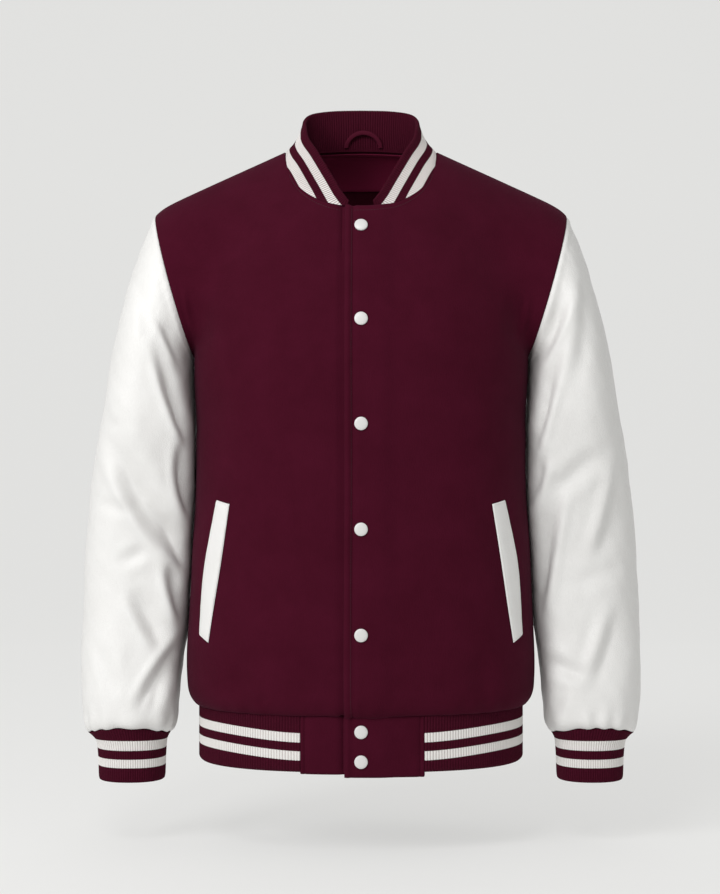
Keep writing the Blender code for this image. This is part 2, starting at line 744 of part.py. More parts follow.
def body_at(turn, z):
    """Point and outward normal of the front at a turn and a height below the chest."""
    level = level_at(z)
    return body_ring(turn, level), panel_normal(True, turn / 90, level)


def front_at(z):
    """Outer point and normal of the upper front on the centre line."""
    level = last_before(0.0, CHEST + 1.0, lambda place: panel(True, 0.0, place).z < z)
    along = panel(True, 0.0, level + NORMAL_STEP) - panel(True, 0.0, level - NORMAL_STEP)
    return panel(True, 0.0, level), Vector((0, -along.z, along.y)).normalized()


def make_snaps(enamel):
    for number, z in enumerate(SNAP_HEIGHTS, start=1):
        if z > HEM_TOP:
            centre, axis = front_at(z)
        else:
            centre, axis = hem_point(0.0, z, TAB_END["left"])
        centre = centre + axis * (LAP_LIFT + SEAM_GAP)
        upright = axis.cross(Vector((1, 0, 0))).normalized()
        mesh = bmesh.new()
        rings = []
        for radius, height in SNAP_PROFILE:
            row = []
            for index in range(SNAP_SIDES):
                angle = 2 * math.pi * index / SNAP_SIDES
                spoke = Vector((1, 0, 0)) * math.cos(angle) + upright * math.sin(angle)
                point = centre + spoke * radius * SNAP_RADIUS + axis * height * SNAP_HEIGHT
                row.append(mesh.verts.new(point))
            rings.append(row)
        for low, high in zip(rings, rings[1:]):
            for index in range(SNAP_SIDES):
                after = (index + 1) % SNAP_SIDES
                mesh.faces.new((low[index], low[after], high[after], high[index]))
        mesh.faces.new(rings[0])
        tip = mesh.verts.new(centre + axis * SNAP_HEIGHT)
        for index in range(SNAP_SIDES):
            mesh.faces.new((rings[-1][index], rings[-1][(index + 1) % SNAP_SIDES], tip))
        finish(f"snap_{number}", mesh, enamel)


def make_neck_inside(back_inside, tape, lining):
    """Tape along the back neck seam and the facing below it, both from the back's points."""
    top_row, below_row = back_inside[-1], back_inside[-2]

    def between(from_top=None, from_below=None):
        line = []
        for (top, top_way), (below, below_way) in zip(top_row, below_row):
            run = (below - top).length
            share = from_top / run if from_top else 1 - from_below / run
            line.append((top.lerp(below, share), top_way.lerp(below_way, share).normalized()))
        return line

    bands = (
        ("neck_tape", [between(from_below=INSIDE_GAP), between(from_top=TAPE_TOP)], tape),
        ("back_neck_facing", back_inside[-FACING_ROWS:-1], lining),
    )
    for name, lines, material in bands:
        outer = [[point + way * INSIDE_GAP for point, way in line] for line in lines]
        inner = [[point + way * (INSIDE_GAP + TAPE_WALL) for point, way in line] for line in lines]
        solid(name, outer, inner, False, material)


def make_hanger_loop(tape):
    """Flat strap bent to an arch, its feet at the neck seam against the collar's inside."""
    outer, inner = [], []
    for index in range(LOOP_STEPS + 1):
        angle = math.pi * index / LOOP_STEPS
        out_row, in_row = [], []
        for band in (LOOP_BAND / 2, -LOOP_BAND / 2):
            x = LOOP_MIDDLE_X - (LOOP_HALF_WIDTH + band) * math.cos(angle)
            height = LOOP_FOOT + (LOOP_RISE + band) * math.sin(angle)
            point, normal = collar_inside(x, height)
            lift = INSIDE_GAP + LOOP_STANDOFF * math.sin(angle)
            out_row.append(point - normal * lift)
            in_row.append(point - normal * (lift + LOOP_WALL))
        outer.append(out_row)
        inner.append(in_row)
    solid("hanger_loop", outer, inner, False, tape)


def collar_inside(x, height):
    """Collar's inner face at x near the centre back, a height above the neck seam."""
    down = 1 - height / COLLAR_BACK_HEIGHT
    place = last_before(0.5, 1.5, lambda along: collar_side(along, down)[0].x < x)
    point, normal = collar_side(place, down)
    return point - normal * COLLAR_WALL, normal


for old in list(bpy.data.objects):
    bpy.data.objects.remove(old, do_unlink=True)

wool = surface_material("wool")
leather = surface_material("leather")
knit = surface_material("rib_knit")
enamel = surface_material("snap_enamel")
tape = surface_material("tape")
lining = surface_material("lining")

make_fronts(wool)
back_inside = make_back(wool)
make_sleeves(leather)
make_cuffs(knit)
make_hem(knit, wool)
make_collar(knit)
make_welts(leather)
make_snaps(enamel)
make_neck_inside(back_inside, tape, lining)
make_hanger_loop(tape)
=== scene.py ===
import math

import bmesh
import bpy
import numpy as np
from mathutils import Matrix, Vector


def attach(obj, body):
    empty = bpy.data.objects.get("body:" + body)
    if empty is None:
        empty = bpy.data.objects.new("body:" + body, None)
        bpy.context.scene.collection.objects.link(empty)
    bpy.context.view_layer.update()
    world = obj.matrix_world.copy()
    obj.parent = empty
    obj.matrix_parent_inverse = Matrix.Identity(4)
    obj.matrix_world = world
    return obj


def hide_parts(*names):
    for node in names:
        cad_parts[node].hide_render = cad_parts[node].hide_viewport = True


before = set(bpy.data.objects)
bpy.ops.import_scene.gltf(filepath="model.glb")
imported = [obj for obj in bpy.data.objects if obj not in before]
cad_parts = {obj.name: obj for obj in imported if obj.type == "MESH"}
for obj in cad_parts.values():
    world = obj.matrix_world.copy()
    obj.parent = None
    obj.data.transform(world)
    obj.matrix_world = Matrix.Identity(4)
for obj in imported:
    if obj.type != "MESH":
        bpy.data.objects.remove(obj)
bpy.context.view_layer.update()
bpy.ops.object.select_all(action="DESELECT")
print("frame loaded")


def mixed(a, b, share):
    return a + (b - a) * share


def smoothStep(low, high, value):
    t = np.clip((value - low) / (high - low), 0.0, 1.0)
    return t * t * (3 - 2 * t)


def hermite(start, end, pullIn, pullOut, t):
    return (
        start * (2 * t ** 3 - 3 * t ** 2 + 1)
        + end * (3 * t ** 2 - 2 * t ** 3)
        + pullIn * (t ** 3 - 2 * t ** 2 + t)
        + pullOut * (t ** 3 - t ** 2)
    )


def spline(rows, place):
    rows, place = np.asarray(rows, float), np.asarray(place, float)
    last = len(rows) - 1
    start = np.clip(np.floor(place).astype(int), 0, last - 1)
    t = (place - start)[..., None]
    b, c = rows[start], rows[start + 1]
    a, d = rows[np.maximum(start - 1, 0)], rows[np.minimum(start + 2, last)]
    return hermite(b, c, (c - a) / 2, (d - b) / 2, t)


def unit(vectors):
    return vectors / np.maximum(np.linalg.norm(vectors, axis=-1, keepdims=True), 1e-12)


def point3(x, y, z):
    return np.stack(np.broadcast_arrays(x, y, z), axis=-1)


def ring(turn, halfWidth, front, back, power):
    # level section of a rounded box, turn 0 at centre front
    side, ahead = np.sin(np.radians(turn)), np.cos(np.radians(turn))
    reach = (np.abs(side) ** power + np.abs(ahead) ** power) ** (-1 / power)
    return halfWidth * reach * side, -np.where(ahead > 0, front, back) * reach * ahead


def edgeSteps(length, spacing, fineStart=True):
    # distances along a seam to seam run, closer together beside the seams
    fine = [0.0, 0.0006, 0.0013, 0.0022, 0.0034, 0.0050]
    start = fine if fineStart else [0.0]
    end = [length - step for step in reversed(fine)]
    count = max(2, round((end[0] - start[-1]) / spacing))
    middle = np.linspace(start[-1], end[0], count + 1)[1:-1]
    return np.array([*start, *middle, *end])


def runLength(points, axis):
    # distance from the first row or column of a grid, along that axis
    step = np.linalg.norm(np.diff(points, axis=axis), axis=-1)
    shape = list(step.shape)
    shape[axis] = 1
    return np.concatenate([np.zeros(shape), np.cumsum(step, axis=axis)], axis=axis)


def gridNormals(points, closed=False):
    # grid is rows of columns; a closed one joins its last column to its first
    if closed:
        along = np.roll(points, -1, axis=1) - np.roll(points, 1, axis=1)
    else:
        along = np.gradient(points, axis=1)
    return unit(np.cross(along, np.gradient(points, axis=0)))


def turnedOut(normals, away):
    # the normals, turned round if most of them point against away
    return -normals if np.mean(np.sum(normals * away, axis=-1)) < 0 else normals


def atPlaces(places, run, points):
    # points or directions at places along a line, run being the distance to each of its points
    return np.stack([np.interp(places, run, points[:, i]) for i in range(3)], axis=-1)


def hump(distance, middle, spread):
    return np.exp(-((distance - middle) / spread) ** 2)


def roundedEdge(distance, width, drop):
    # how far the cloth turns in at a distance from its edge
    near = 1 - np.clip(distance / width, 0, 1)
    return drop * (1 - np.sqrt(np.maximum(1 - near ** 2, 0)))


foldShape = {
    "steps": 12, "reach": 6,
    # at a full lean the soft side is this share wider and the steep one this share narrower
    "softer": 0.9, "steeper": 0.4,
    # places along the line between which a fold rises and then fades, and the share it loses
    "rising": (-0.08, 0.40), "fading": (0.62, 1.0), "faded": 0.95,
    # swell of the cloth beside a fold: share of the depth, then middle and spread in half widths
    "swell": (0.30, 1.9, 0.8),
}


def foldsAt(points, folds):
    # soft troughs (and ridges, with a negative depth), each along a bowed line in x and z;
    # a positive lean makes the side towards -X steep and the other one long and soft
    sunk = np.zeros(points.shape[:-1])
    for startX, startZ, bow, endX, endZ, halfWidth, depth, *lean in folds:
        runX, runZ = endX - startX, endZ - startZ
        length = math.hypot(runX, runZ)
        t = np.linspace(0, 1, foldShape["steps"] + 1)
        lineX = startX + runX * t - runZ / length * bow * 4 * t * (1 - t)
        lineZ = startZ + runZ * t + runX / length * bow * 4 * t * (1 - t)
        lean = lean[0] if lean else 0.0
        reach = foldShape["reach"] * halfWidth
        near = (
            (points[..., 0] > lineX.min() - reach) & (points[..., 0] < lineX.max() + reach)
            & (points[..., 2] > lineZ.min() - reach) & (points[..., 2] < lineZ.max() + reach)
        )
        x, z = points[near][:, 0, None], points[near][:, 2, None]
        ax, az = lineX[:-1], lineZ[:-1]
        bx, bz = np.diff(lineX), np.diff(lineZ)
        s = np.clip(((x - ax) * bx + (z - az) * bz) / (bx ** 2 + bz ** 2), 0, 1)
        offset = x - ax - s * bx
        away = np.hypot(offset, z - az - s * bz)
        best = np.argmin(away, axis=1)
        pick = np.arange(len(best))
        place = (best + s[pick, best]) / foldShape["steps"]
        soft, steep = 1 + foldShape["softer"] * abs(lean), 1 - foldShape["steeper"] * abs(lean)
        away = away[pick, best] / (halfWidth * np.where(offset[pick, best] * lean > 0, soft, steep))
        fade = foldShape["faded"] * smoothStep(*foldShape["fading"], place)
        taper = smoothStep(*foldShape["rising"], place) * (1 - fade)
        swell, middle, spread = foldShape["swell"]
        shape = np.exp(-away ** 2) - swell * hump(away, middle, spread)
        sunk[near] += depth * taper * shape
    return sunk


def ripple(points, size, seed):
    # smooth wander from a few sine waves, about -1 to 1
    x, y, z = (points[..., i] / size for i in range(3))
    return (
        np.sin(2.1 * x + 1.3 * z + 1.7 * y + seed) + np.sin(1.1 * z - 2.3 * x + 2.9 + 1.9 * seed)
        + np.sin(1.9 * z + 0.8 * y + 4.1 + 0.7 * seed) + np.sin(1.4 * x - 1.6 * y + 2.2 * z + 3.1 * seed)
    ) / 4


body = {
    "ringPower": 2.4,
    # z, half width, front reach, back reach
    "sections": [
        (-0.6250, 0.1828, 0.1262, 0.1182),
        (-0.6215, 0.1884, 0.1310, 0.1230),
        (-0.6125, 0.1937, 0.1354, 0.1274),
        (-0.5980, 0.1959, 0.1376, 0.1291),
        (-0.5600, 0.1962, 0.1395, 0.1300),
        (-0.4800, 0.1925, 0.1390, 0.1275),
        (-0.3700, 0.1866, 0.1385, 0.1255),
        (-0.2350, 0.1890, 0.1422, 0.1372),
    ],
    "neckHalfWidth": 0.0843, "neckPower": 2.25, "neckPointY": 0.003, "neckPointZ": 0.001,
    "neckFrontDrop": 0.0725, "neckBackRise": 0.009, "neckShare": 0.32,
    "shoulderPointX": 0.234, "shoulderSlope": 0.453, "ridgeRounding": 0.085,
    # how far the end of the shoulder drops, and how near to the end the drop keeps
    "shoulderRounding": 0.006, "shoulderRoundingPower": 24,
    # up, round, in y, in z: at the centre and at the armhole
    "frontPulls": ((0.30, 0.0, 0.12, 0.0), (0.03, 0.34, 0.22, 0.03)),
    "backPulls": ((0.34, 0.0, 0.42, 0.0), (0.03, 0.31, 0.22, 0.03)),
    "pullBlend": 2.5, "neckCrowding": 0.6, "steepest": 400,
    "lapHalfWidth": 0.018, "lapFade": 0.040, "lapLift": 0.0025,
    "wall": 0.0022, "spacing": 0.0038, "samples": 1600, "halvings": 40,
}
chest = len(body["sections"]) - 1
halfGirth = body["sections"][chest][1] * math.pi / 2
lapShare = body["lapHalfWidth"] / halfGirth


def bodyRing(turn, level):
    z, halfWidth, front, back = np.moveaxis(spline(body["sections"], level), -1, 0)
    x, y = ring(turn, halfWidth, front, back, body["ringPower"])
    return point3(x, y, z)


def shoulderLine(across):
    end, share, neck = body["shoulderPointX"], body["neckShare"], body["neckHalfWidth"]
    bend = (end * share - neck) / (share - share ** 2)
    x = (end - bend) * across + bend * across ** 2
    rounding = body["ridgeRounding"]
    run = np.where(x > rounding, x, (rounding + x ** 2 / rounding) / 2)
    rounded = body["shoulderRounding"] * across ** body["shoulderRoundingPower"]
    fall = body["shoulderSlope"] * (run - neck) + rounded
    return point3(x, body["neckPointY"], body["neckPointZ"] - fall)


def skin(front, across, level):
    across, level = np.broadcast_arrays(np.asarray(across, float), np.asarray(level, float))
    away = np.abs(across)
    turn = 90 * away if front else 180 - 90 * away
    low = bodyRing(turn, np.minimum(level, chest))
    start, end = bodyRing(turn, np.full(away.shape, float(chest))), shoulderLine(away)
    centre, armholeEnd = body["frontPulls" if front else "backPulls"]
    share = away ** body["pullBlend"]
    up, around, inY, inZ = (mixed(a, b, share) for a, b in zip(centre, armholeEnd))
    beside = bodyRing(turn + (-1 if front else 1), np.full(away.shape, float(chest)))
    pullIn = point3(0, 0, up) + unit(beside - start) * around[..., None]
    pullOut = point3(0, inY if front else -inY, inZ)
    high = hermite(start, end, pullIn, pullOut, (level - chest)[..., None])
    points = np.where((level <= chest)[..., None], low, high)
    points[..., 0] *= np.where(across < 0, -1, 1)
    return points


def inNeck(front, points):
    sideways = points[..., 0] / body["neckHalfWidth"]
    above = points[..., 2] - body["neckPointZ"]
    if front:
        power = body["neckPower"]
        return np.abs(sideways) ** power + np.abs(above / body["neckFrontDrop"]) ** power < 1
    return above > body["neckBackRise"] * (1 - sideways ** 2)


def topLevel(front, across):
    across = np.atleast_1d(np.abs(across)).astype(float)
    low, high = np.full(across.shape, float(chest)), np.full(across.shape, chest + 1.0)
    for _ in range(body["halvings"]):
        middle = (low + high) / 2
        inside = inNeck(front, skin(front, across, middle))
        low, high = np.where(inside, low, middle), np.where(inside, middle, high)
    return np.where(across >= body["neckShare"], chest + 1.0, low)


def panel(front, across, level):
    # point of a wool panel; across is 0 at the centre line and 1 at the side
    across, level = np.broadcast_arrays(np.asarray(across, float), np.asarray(level, float))
    short = np.maximum(chest + 1.0 - topLevel(front, across.ravel()).reshape(across.shape), 1e-9)
    rise = np.clip(level - chest, 0, None)
    slid = level - short * rise ** np.minimum(body["neckCrowding"] / short, body["steepest"])
    return skin(front, across, np.where(level <= chest, level, slid))


def neckSeamTable():
    # neck seam at each quarter degree, 0 at centre front and 180 at centre back
    turn = np.linspace(0, 180, 721)
    across = body["neckShare"] * np.sin(np.radians(np.minimum(turn, 180 - turn)))
    top = np.full(across.shape, chest + 1.0)
    return turn, np.where((turn <= 90)[..., None], panel(True, across, top), panel(False, across, top))


seamTurns, seamPoints = neckSeamTable()


def neckSeam(turn):
    return atPlaces(turn, seamTurns, seamPoints)


def makePiece(name, points, faces, uv=None, material=None, smoothAngle=50, plainFaces=0):
    # the last plainFaces faces lie in a seam and take no stripe
    data = bpy.data.meshes.new(name)
    data.from_pydata(points.tolist(), [], faces.tolist() if hasattr(faces, "tolist") else faces)
    if uv is not None:
        layer = data.uv_layers.new(name="cloth")
        corner = np.zeros(len(data.loops), np.int32)
        data.loops.foreach_get("vertex_index", corner)
        placed = uv[corner].astype(np.float32)
        if plainFaces:
            placed[data.polygons[len(data.polygons) - plainFaces].loop_start:, 1] = 0.2
        layer.data.foreach_set("uv", placed.ravel())
    data.validate()
    work = bmesh.new()
    work.from_mesh(data)
    bmesh.ops.recalc_face_normals(work, faces=work.faces)
    if work.calc_volume(signed=True) < 0:
        bmesh.ops.reverse_faces(work, faces=work.faces)
    work.to_mesh(data)
    work.free()
    data.shade_smooth()
    data.set_sharp_from_angle(angle=math.radians(smoothAngle))
    piece = bpy.data.objects.new(name, data)
    bpy.context.collection.objects.link(piece)
    if material:
        data.materials.append(material)
    return piece


def shell(name, outer, inner, uv, material, closed=False):
    # closed wall between two grids of the same size
    rows, columns = outer.shape[:2]
    index = np.arange(rows * columns).reshape(rows, columns)
    across = index if closed else index[:, :-1]
    nextOne = np.roll(index, -1, axis=1) if closed else index[:, 1:]
    offset = rows * columns

    def quads(a, b, c, d):
        return np.stack([a, b, c, d], axis=-1).reshape(-1, 4)

    faces = [
        quads(across[:-1], nextOne[:-1], nextOne[1:], across[1:]),
        quads(across[:-1], across[1:], nextOne[1:], nextOne[:-1]) + offset,
    ]
    for row in (0, -1):
        faces.append(quads(across[row], nextOne[row], nextOne[row] + offset, across[row] + offset))
    if not closed:
        for column in (0, -1):
            low, high = index[:-1, column], index[1:, column]
            faces.append(quads(low, high, high + offset, low + offset))
    points = np.concatenate([outer.reshape(-1, 3), inner.reshape(-1, 3)])
    flat = uv.reshape(-1, 2)
    return makePiece(name, points, np.concatenate(faces), np.concatenate([flat, flat]), material)


def settle(piece, nodeName):
    # the piece stands for a cloth node of the frame
    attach(piece, "root")
    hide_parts(nodeName)


def mirroredGrid(points, side):
    return points * np.array([side, 1, 1])


def newMaterial(name, settings):
    material = bpy.data.materials.new(name)
    material.use_nodes = True
    shader = material.node_tree.nodes["Principled BSDF"]
    shader.inputs["Base Color"].default_value = (*settings["colour"], 1.0)
    for label, value in settings["sockets"].items():
        shader.inputs[label].default_value = value
    return material, material.node_tree, shader


def node(tree, kind, **values):
    made = tree.nodes.new(kind)
    for label, value in values.items():
        if label in made.inputs.keys():
            made.inputs[label].default_value = value
        else:
            setattr(made, label, value)
    return made


def objectPlace(tree, stretch=(1, 1, 1)):
    place = node(tree, "ShaderNodeTexCoord")
    mapping = node(tree, "ShaderNodeMapping", Scale=stretch)
    tree.links.new(place.outputs["Object"], mapping.inputs["Vector"])
    return mapping.outputs["Vector"]


def noise(tree, place, scale, detail=3.0, roughness=0.5):
    made = node(tree, "ShaderNodeTexNoise", Scale=scale, Detail=detail, Roughness=roughness)
    tree.links.new(place, made.inputs["Vector"])
    return made.outputs["Fac"]


def ranged(tree, value, fromLow, fromHigh, toLow, toHigh):
    made = node(tree, "ShaderNodeMapRange")
    tree.links.new(value, made.inputs["Value"])
    ends = {"From Min": fromLow, "From Max": fromHigh, "To Min": toLow, "To Max": toHigh}
    for label, number in ends.items():
        made.inputs[label].default_value = number
    return made.outputs["Result"]


def maths(tree, operation, first, second=None):
    made = node(tree, "ShaderNodeMath", operation=operation)
    for socket, value in zip(made.inputs, (first, second)):
        if value is None:
            continue
        if isinstance(value, (int, float)):
            socket.default_value = value
        else:
            tree.links.new(value, socket)
    return made.outputs["Value"]


def blended(tree, factor, first, second):
    made = node(tree, "ShaderNodeMix", data_type="RGBA")
    tree.links.new(factor, made.inputs["Factor"])
    for label, value in (("A", first), ("B", second)):
        socket = [s for s in made.inputs if s.name == label and s.type == "RGBA"][0]
        if isinstance(value, tuple):
            socket.default_value = (*value, 1.0)
        else:
            tree.links.new(value, socket)
    return [s for s in made.outputs if s.type == "RGBA"][0]


def bumped(tree, height, distance, strength, before=None):
    made = node(tree, "ShaderNodeBump", Strength=strength, Distance=distance)
    tree.links.new(height, made.inputs["Height"])
    if before:
        tree.links.new(before, made.inputs["Normal"])
    return made.outputs["Normal"]


def makeWool():
    settings = {
        "colour": (0.057, 0.0041, 0.0146), "deep": (0.048, 0.0032, 0.0117), "lint": (0.085, 0.012, 0.029),
        "napScale": 620, "napHeight": 0.0009, "fibreScale": 1500, "fibreHeight": 0.0004, "cloudScale": 26,
        # how much the fibres show as lint, and from which noise level up
        "lintShare": 0.55, "lintLevels": (0.58, 0.80),
        "sockets": {
            "Roughness": 0.95, "Specular IOR Level": 0.05, "Sheen Weight": 0.040, "Sheen Roughness": 0.4,
            "Sheen Tint": (0.9, 0.45, 0.65, 1.0),
        },
    }
    material, tree, shader = newMaterial("woolMelton", settings)
    place = objectPlace(tree)
    # the nap lies down the cloth, the fibres across it
    nap = noise(tree, objectPlace(tree, (1.0, 1.0, 0.45)), settings["napScale"], 5.0, 0.65)
    fibre = noise(tree, objectPlace(tree, (1.0, 1.0, 2.2)), settings["fibreScale"], 3.0, 0.7)
    cloud = noise(tree, place, settings["cloudScale"], 4.0, 0.6)
    mottle = blended(tree, ranged(tree, cloud, 0.3, 0.7, 0.0, 1.0), settings["deep"], settings["colour"])
    flecks = ranged(tree, fibre, *settings["lintLevels"], 0.0, settings["lintShare"])
    tree.links.new(blended(tree, flecks, mottle, settings["lint"]), shader.inputs["Base Color"])
    coarse = bumped(tree, nap, settings["napHeight"], 0.55)
    fine = bumped(tree, fibre, settings["fibreHeight"], 0.6, coarse)
    tree.links.new(fine, shader.inputs["Normal"])
    return material


def makeLeather():
    settings = {
        "colour": (0.79, 0.783, 0.769), "shade": (0.74, 0.731, 0.716), "shadeShare": 0.6,
        "pebbleScale": 520.0, "pebbleHeight": 0.00022, "wanderScale": 240, "wanderHeight": 0.00035,
        "cloudScale": 14, "bulgeScale": 46, "bulgeHeight": 0.0016, "gloss": (0.36, 0.52),
        "sockets": {"Roughness": 0.42, "Specular IOR Level": 0.45},
    }
    material, tree, shader = newMaterial("creamLeather", settings)
    place = objectPlace(tree)
    cells = node(tree, "ShaderNodeTexVoronoi", feature="DISTANCE_TO_EDGE", Scale=settings["pebbleScale"])
    wander = noise(tree, place, settings["wanderScale"], 2.0)
    tree.links.new(place, cells.inputs["Vector"])
    pebble = ranged(tree, cells.outputs["Distance"], 0.0, 0.22, 0.0, 1.0)
    cloud = noise(tree, place, settings["cloudScale"], 4.0, 0.55)
    shaded = ranged(tree, cloud, 0.35, 0.75, 0.0, settings["shadeShare"])
    colour = blended(tree, shaded, settings["colour"], settings["shade"])
    tree.links.new(colour, shader.inputs["Base Color"])
    tree.links.new(ranged(tree, wander, 0.3, 0.7, *settings["gloss"]), shader.inputs["Roughness"])
    grain = bumped(tree, pebble, settings["pebbleHeight"], 0.55)
    pull = bumped(tree, wander, settings["wanderHeight"], 0.5, grain)
    bulge = noise(tree, place, settings["bulgeScale"], 3.0)
    tree.links.new(bumped(tree, bulge, settings["bulgeHeight"], 0.35, pull), shader.inputs["Normal"])
    return material


knit = {
    "height": 0.00075, "pitch": 0.0026, "ribPower": 0.55, "columnsPerRib": 6,
    "wall": 0.0024, "innerShare": 0.4,
    "topEdge": (0.0022, 0.0010), "bottomEdge": (0.0026, 0.0014), "endEdge": (0.0020, 0.0010),
}


def waves(tree, along, waveLength):
    # 1 at the middles and 0 at the ends of each wave along a distance
    return maths(tree, "ABSOLUTE", maths(tree, "SINE", maths(tree, "MULTIPLY", along, math.pi / waveLength)))


def makeKnit(name, stripes, valleyWidth=0.55, valleyShadeStrength=0.55):
    # v runs down the band in metres, u along it; each stripe is (from, to)
    settings = {
        # deep is the dark end of the random mottle and also the painted shade of the maroon in the rib
        # valleys; stripeValleyShade is the painted shade of the stripes' valleys
        "colour": (0.062, 0.0042, 0.0155), "deep": (0.036, 0.0024, 0.0086),
        "stripe": (0.78, 0.765, 0.74), "stripeValleyShade": (0.30, 0.20, 0.205),
        "loopHeight": 0.0011, "loopSlant": 0.00035, "loopRelief": 0.00012,
        "stripeBlur": 0.00018, "stripeWander": 0.0002, "fuzzScale": 900, "fuzzHeight": 0.0003,
        "sockets": {
            "Roughness": 0.9, "Specular IOR Level": 0.06, "Sheen Weight": 0.02, "Sheen Roughness": 0.5,
            "Sheen Tint": (0.9, 0.35, 0.5, 1.0),
        },
    }
    material, tree, shader = newMaterial(name, settings)
    uv = node(tree, "ShaderNodeUVMap", uv_map="cloth")
    apart = node(tree, "ShaderNodeSeparateXYZ")
    tree.links.new(uv.outputs["UV"], apart.inputs["Vector"])
    u, v = apart.outputs["X"], apart.outputs["Y"]
    # each wale is a column of small loops, two loops of yarn side by side on a rib
    wale = waves(tree, u, knit["pitch"] / 2)
    slanted = maths(tree, "ADD", v, maths(tree, "MULTIPLY", wale, settings["loopSlant"]))
    loops = maths(tree, "SINE", maths(tree, "MULTIPLY", slanted, 2 * math.pi / settings["loopHeight"]))
    wander = noise(tree, objectPlace(tree), settings["fuzzScale"], 3.0, 0.6)
    stray, blur = settings["stripeWander"], settings["stripeBlur"]
    edge = maths(tree, "ADD", slanted, ranged(tree, wander, 0.0, 1.0, -stray, stray))
    cover = None
    for low, high in stripes:
        rise = ranged(tree, edge, low - blur, low + blur, 0.0, 1.0)
        fall = ranged(tree, edge, high - blur, high + blur, 1.0, 0.0)
        band = maths(tree, "MULTIPLY", rise, fall)
        cover = band if cover is None else maths(tree, "MAXIMUM", cover, band)
    mottle = ranged(tree, wander, 0.35, 0.65, 0.0, 1.0)
    ground = blended(tree, mottle, settings["deep"], settings["colour"])
    colour = blended(tree, cover, ground, settings["stripe"])
    # painted shade: the valleys between the ribs are painted darker, where shade falls between them
    valley = ranged(tree, waves(tree, u, knit["pitch"]), 0.0, valleyWidth, valleyShadeStrength, 0.0)
    colour = blended(tree, valley, colour, blended(tree, cover, settings["deep"], settings["stripeValleyShade"]))
    tree.links.new(colour, shader.inputs["Base Color"])
    first = bumped(tree, loops, settings["loopRelief"], 0.6)
    tree.links.new(bumped(tree, wander, settings["fuzzHeight"], 0.4, first), shader.inputs["Normal"])
    return material


def makeEnamel():
    settings = {
        "colour": (0.66, 0.657, 0.645), "speckScale": 700, "speckHeight": 0.00005, "gloss": (0.32, 0.44),
        "sockets": {"Roughness": 0.36, "Coat Weight": 0.10, "Coat Roughness": 0.25},
    }
    material, tree, shader = newMaterial("snapEnamel", settings)
    specks = noise(tree, objectPlace(tree), settings["speckScale"], 3.0)
    tree.links.new(ranged(tree, specks, 0.3, 0.7, *settings["gloss"]), shader.inputs["Roughness"])
    tree.links.new(bumped(tree, specks, settings["speckHeight"], 0.3), shader.inputs["Normal"])
    return material


def makeTwill(name, colour, deep, pitch):
    settings = {
        "colour": colour, "wavesAcross": 0.32, "distortion": 0.6, "lineHeight": 0.00018,
        "sockets": {"Roughness": 0.8, "Specular IOR Level": 0.08},
    }
    material, tree, shader = newMaterial(name, settings)
    bands = node(tree, "ShaderNodeTexWave", wave_type="BANDS", bands_direction="DIAGONAL")
    bands.inputs["Scale"].default_value = settings["wavesAcross"] / pitch
    bands.inputs["Distortion"].default_value = settings["distortion"]
    tree.links.new(objectPlace(tree), bands.inputs["Vector"])
    lines = bands.outputs["Fac"]
    tree.links.new(blended(tree, lines, deep, colour), shader.inputs["Base Color"])
    tree.links.new(bumped(tree, lines, settings["lineHeight"], 0.6), shader.inputs["Normal"])
    return material


def makeThread(name, colour):
    settings = {
        "colour": colour, "twistScale": 2200, "twistHeight": 0.0002, "gloss": (0.5, 0.75),
        "sockets": {"Roughness": 0.6},
    }
    material, tree, shader = newMaterial(name, settings)
    twist = noise(tree, objectPlace(tree, (1, 1, 3)), settings["twistScale"], 2.0)
    tree.links.new(bumped(tree, twist, settings["twistHeight"], 0.6), shader.inputs["Normal"])
    tree.links.new(ranged(tree, twist, 0.3, 0.7, *settings["gloss"]), shader.inputs["Roughness"])
    return material


wool = makeWool()
leather = makeLeather()
enamel = makeEnamel()
tapeCloth = makeTwill("twillTape", (0.210, 0.0148, 0.0520), (0.125, 0.0088, 0.0310), 0.0011)
loopCloth = makeTwill("twillLoop", (0.085, 0.0060, 0.0212), (0.050, 0.0036, 0.0125), 0.0011)
# painted light: the lining's colour is painted several times brighter than the wool's, for light that hardly
# reaches inside the neck
liningPaintedLightCloth = makeTwill("neckLiningPaintedLight", (0.270, 0.0180, 0.0660), (0.210, 0.0140, 0.0510), 0.0007)
maroonThread = makeThread("maroonThread", (0.030, 0.0025, 0.0085))
whiteThread = makeThread("whiteThread", (0.78, 0.77, 0.74))
print("materials made")


topstitch = {
    "fromEdge": 0.0085, "fromNeck": 0.0075, "fromShoulder": 0.0060,
    "pitch": 0.0031, "length": 0.0024, "radius": 0.00028,
}
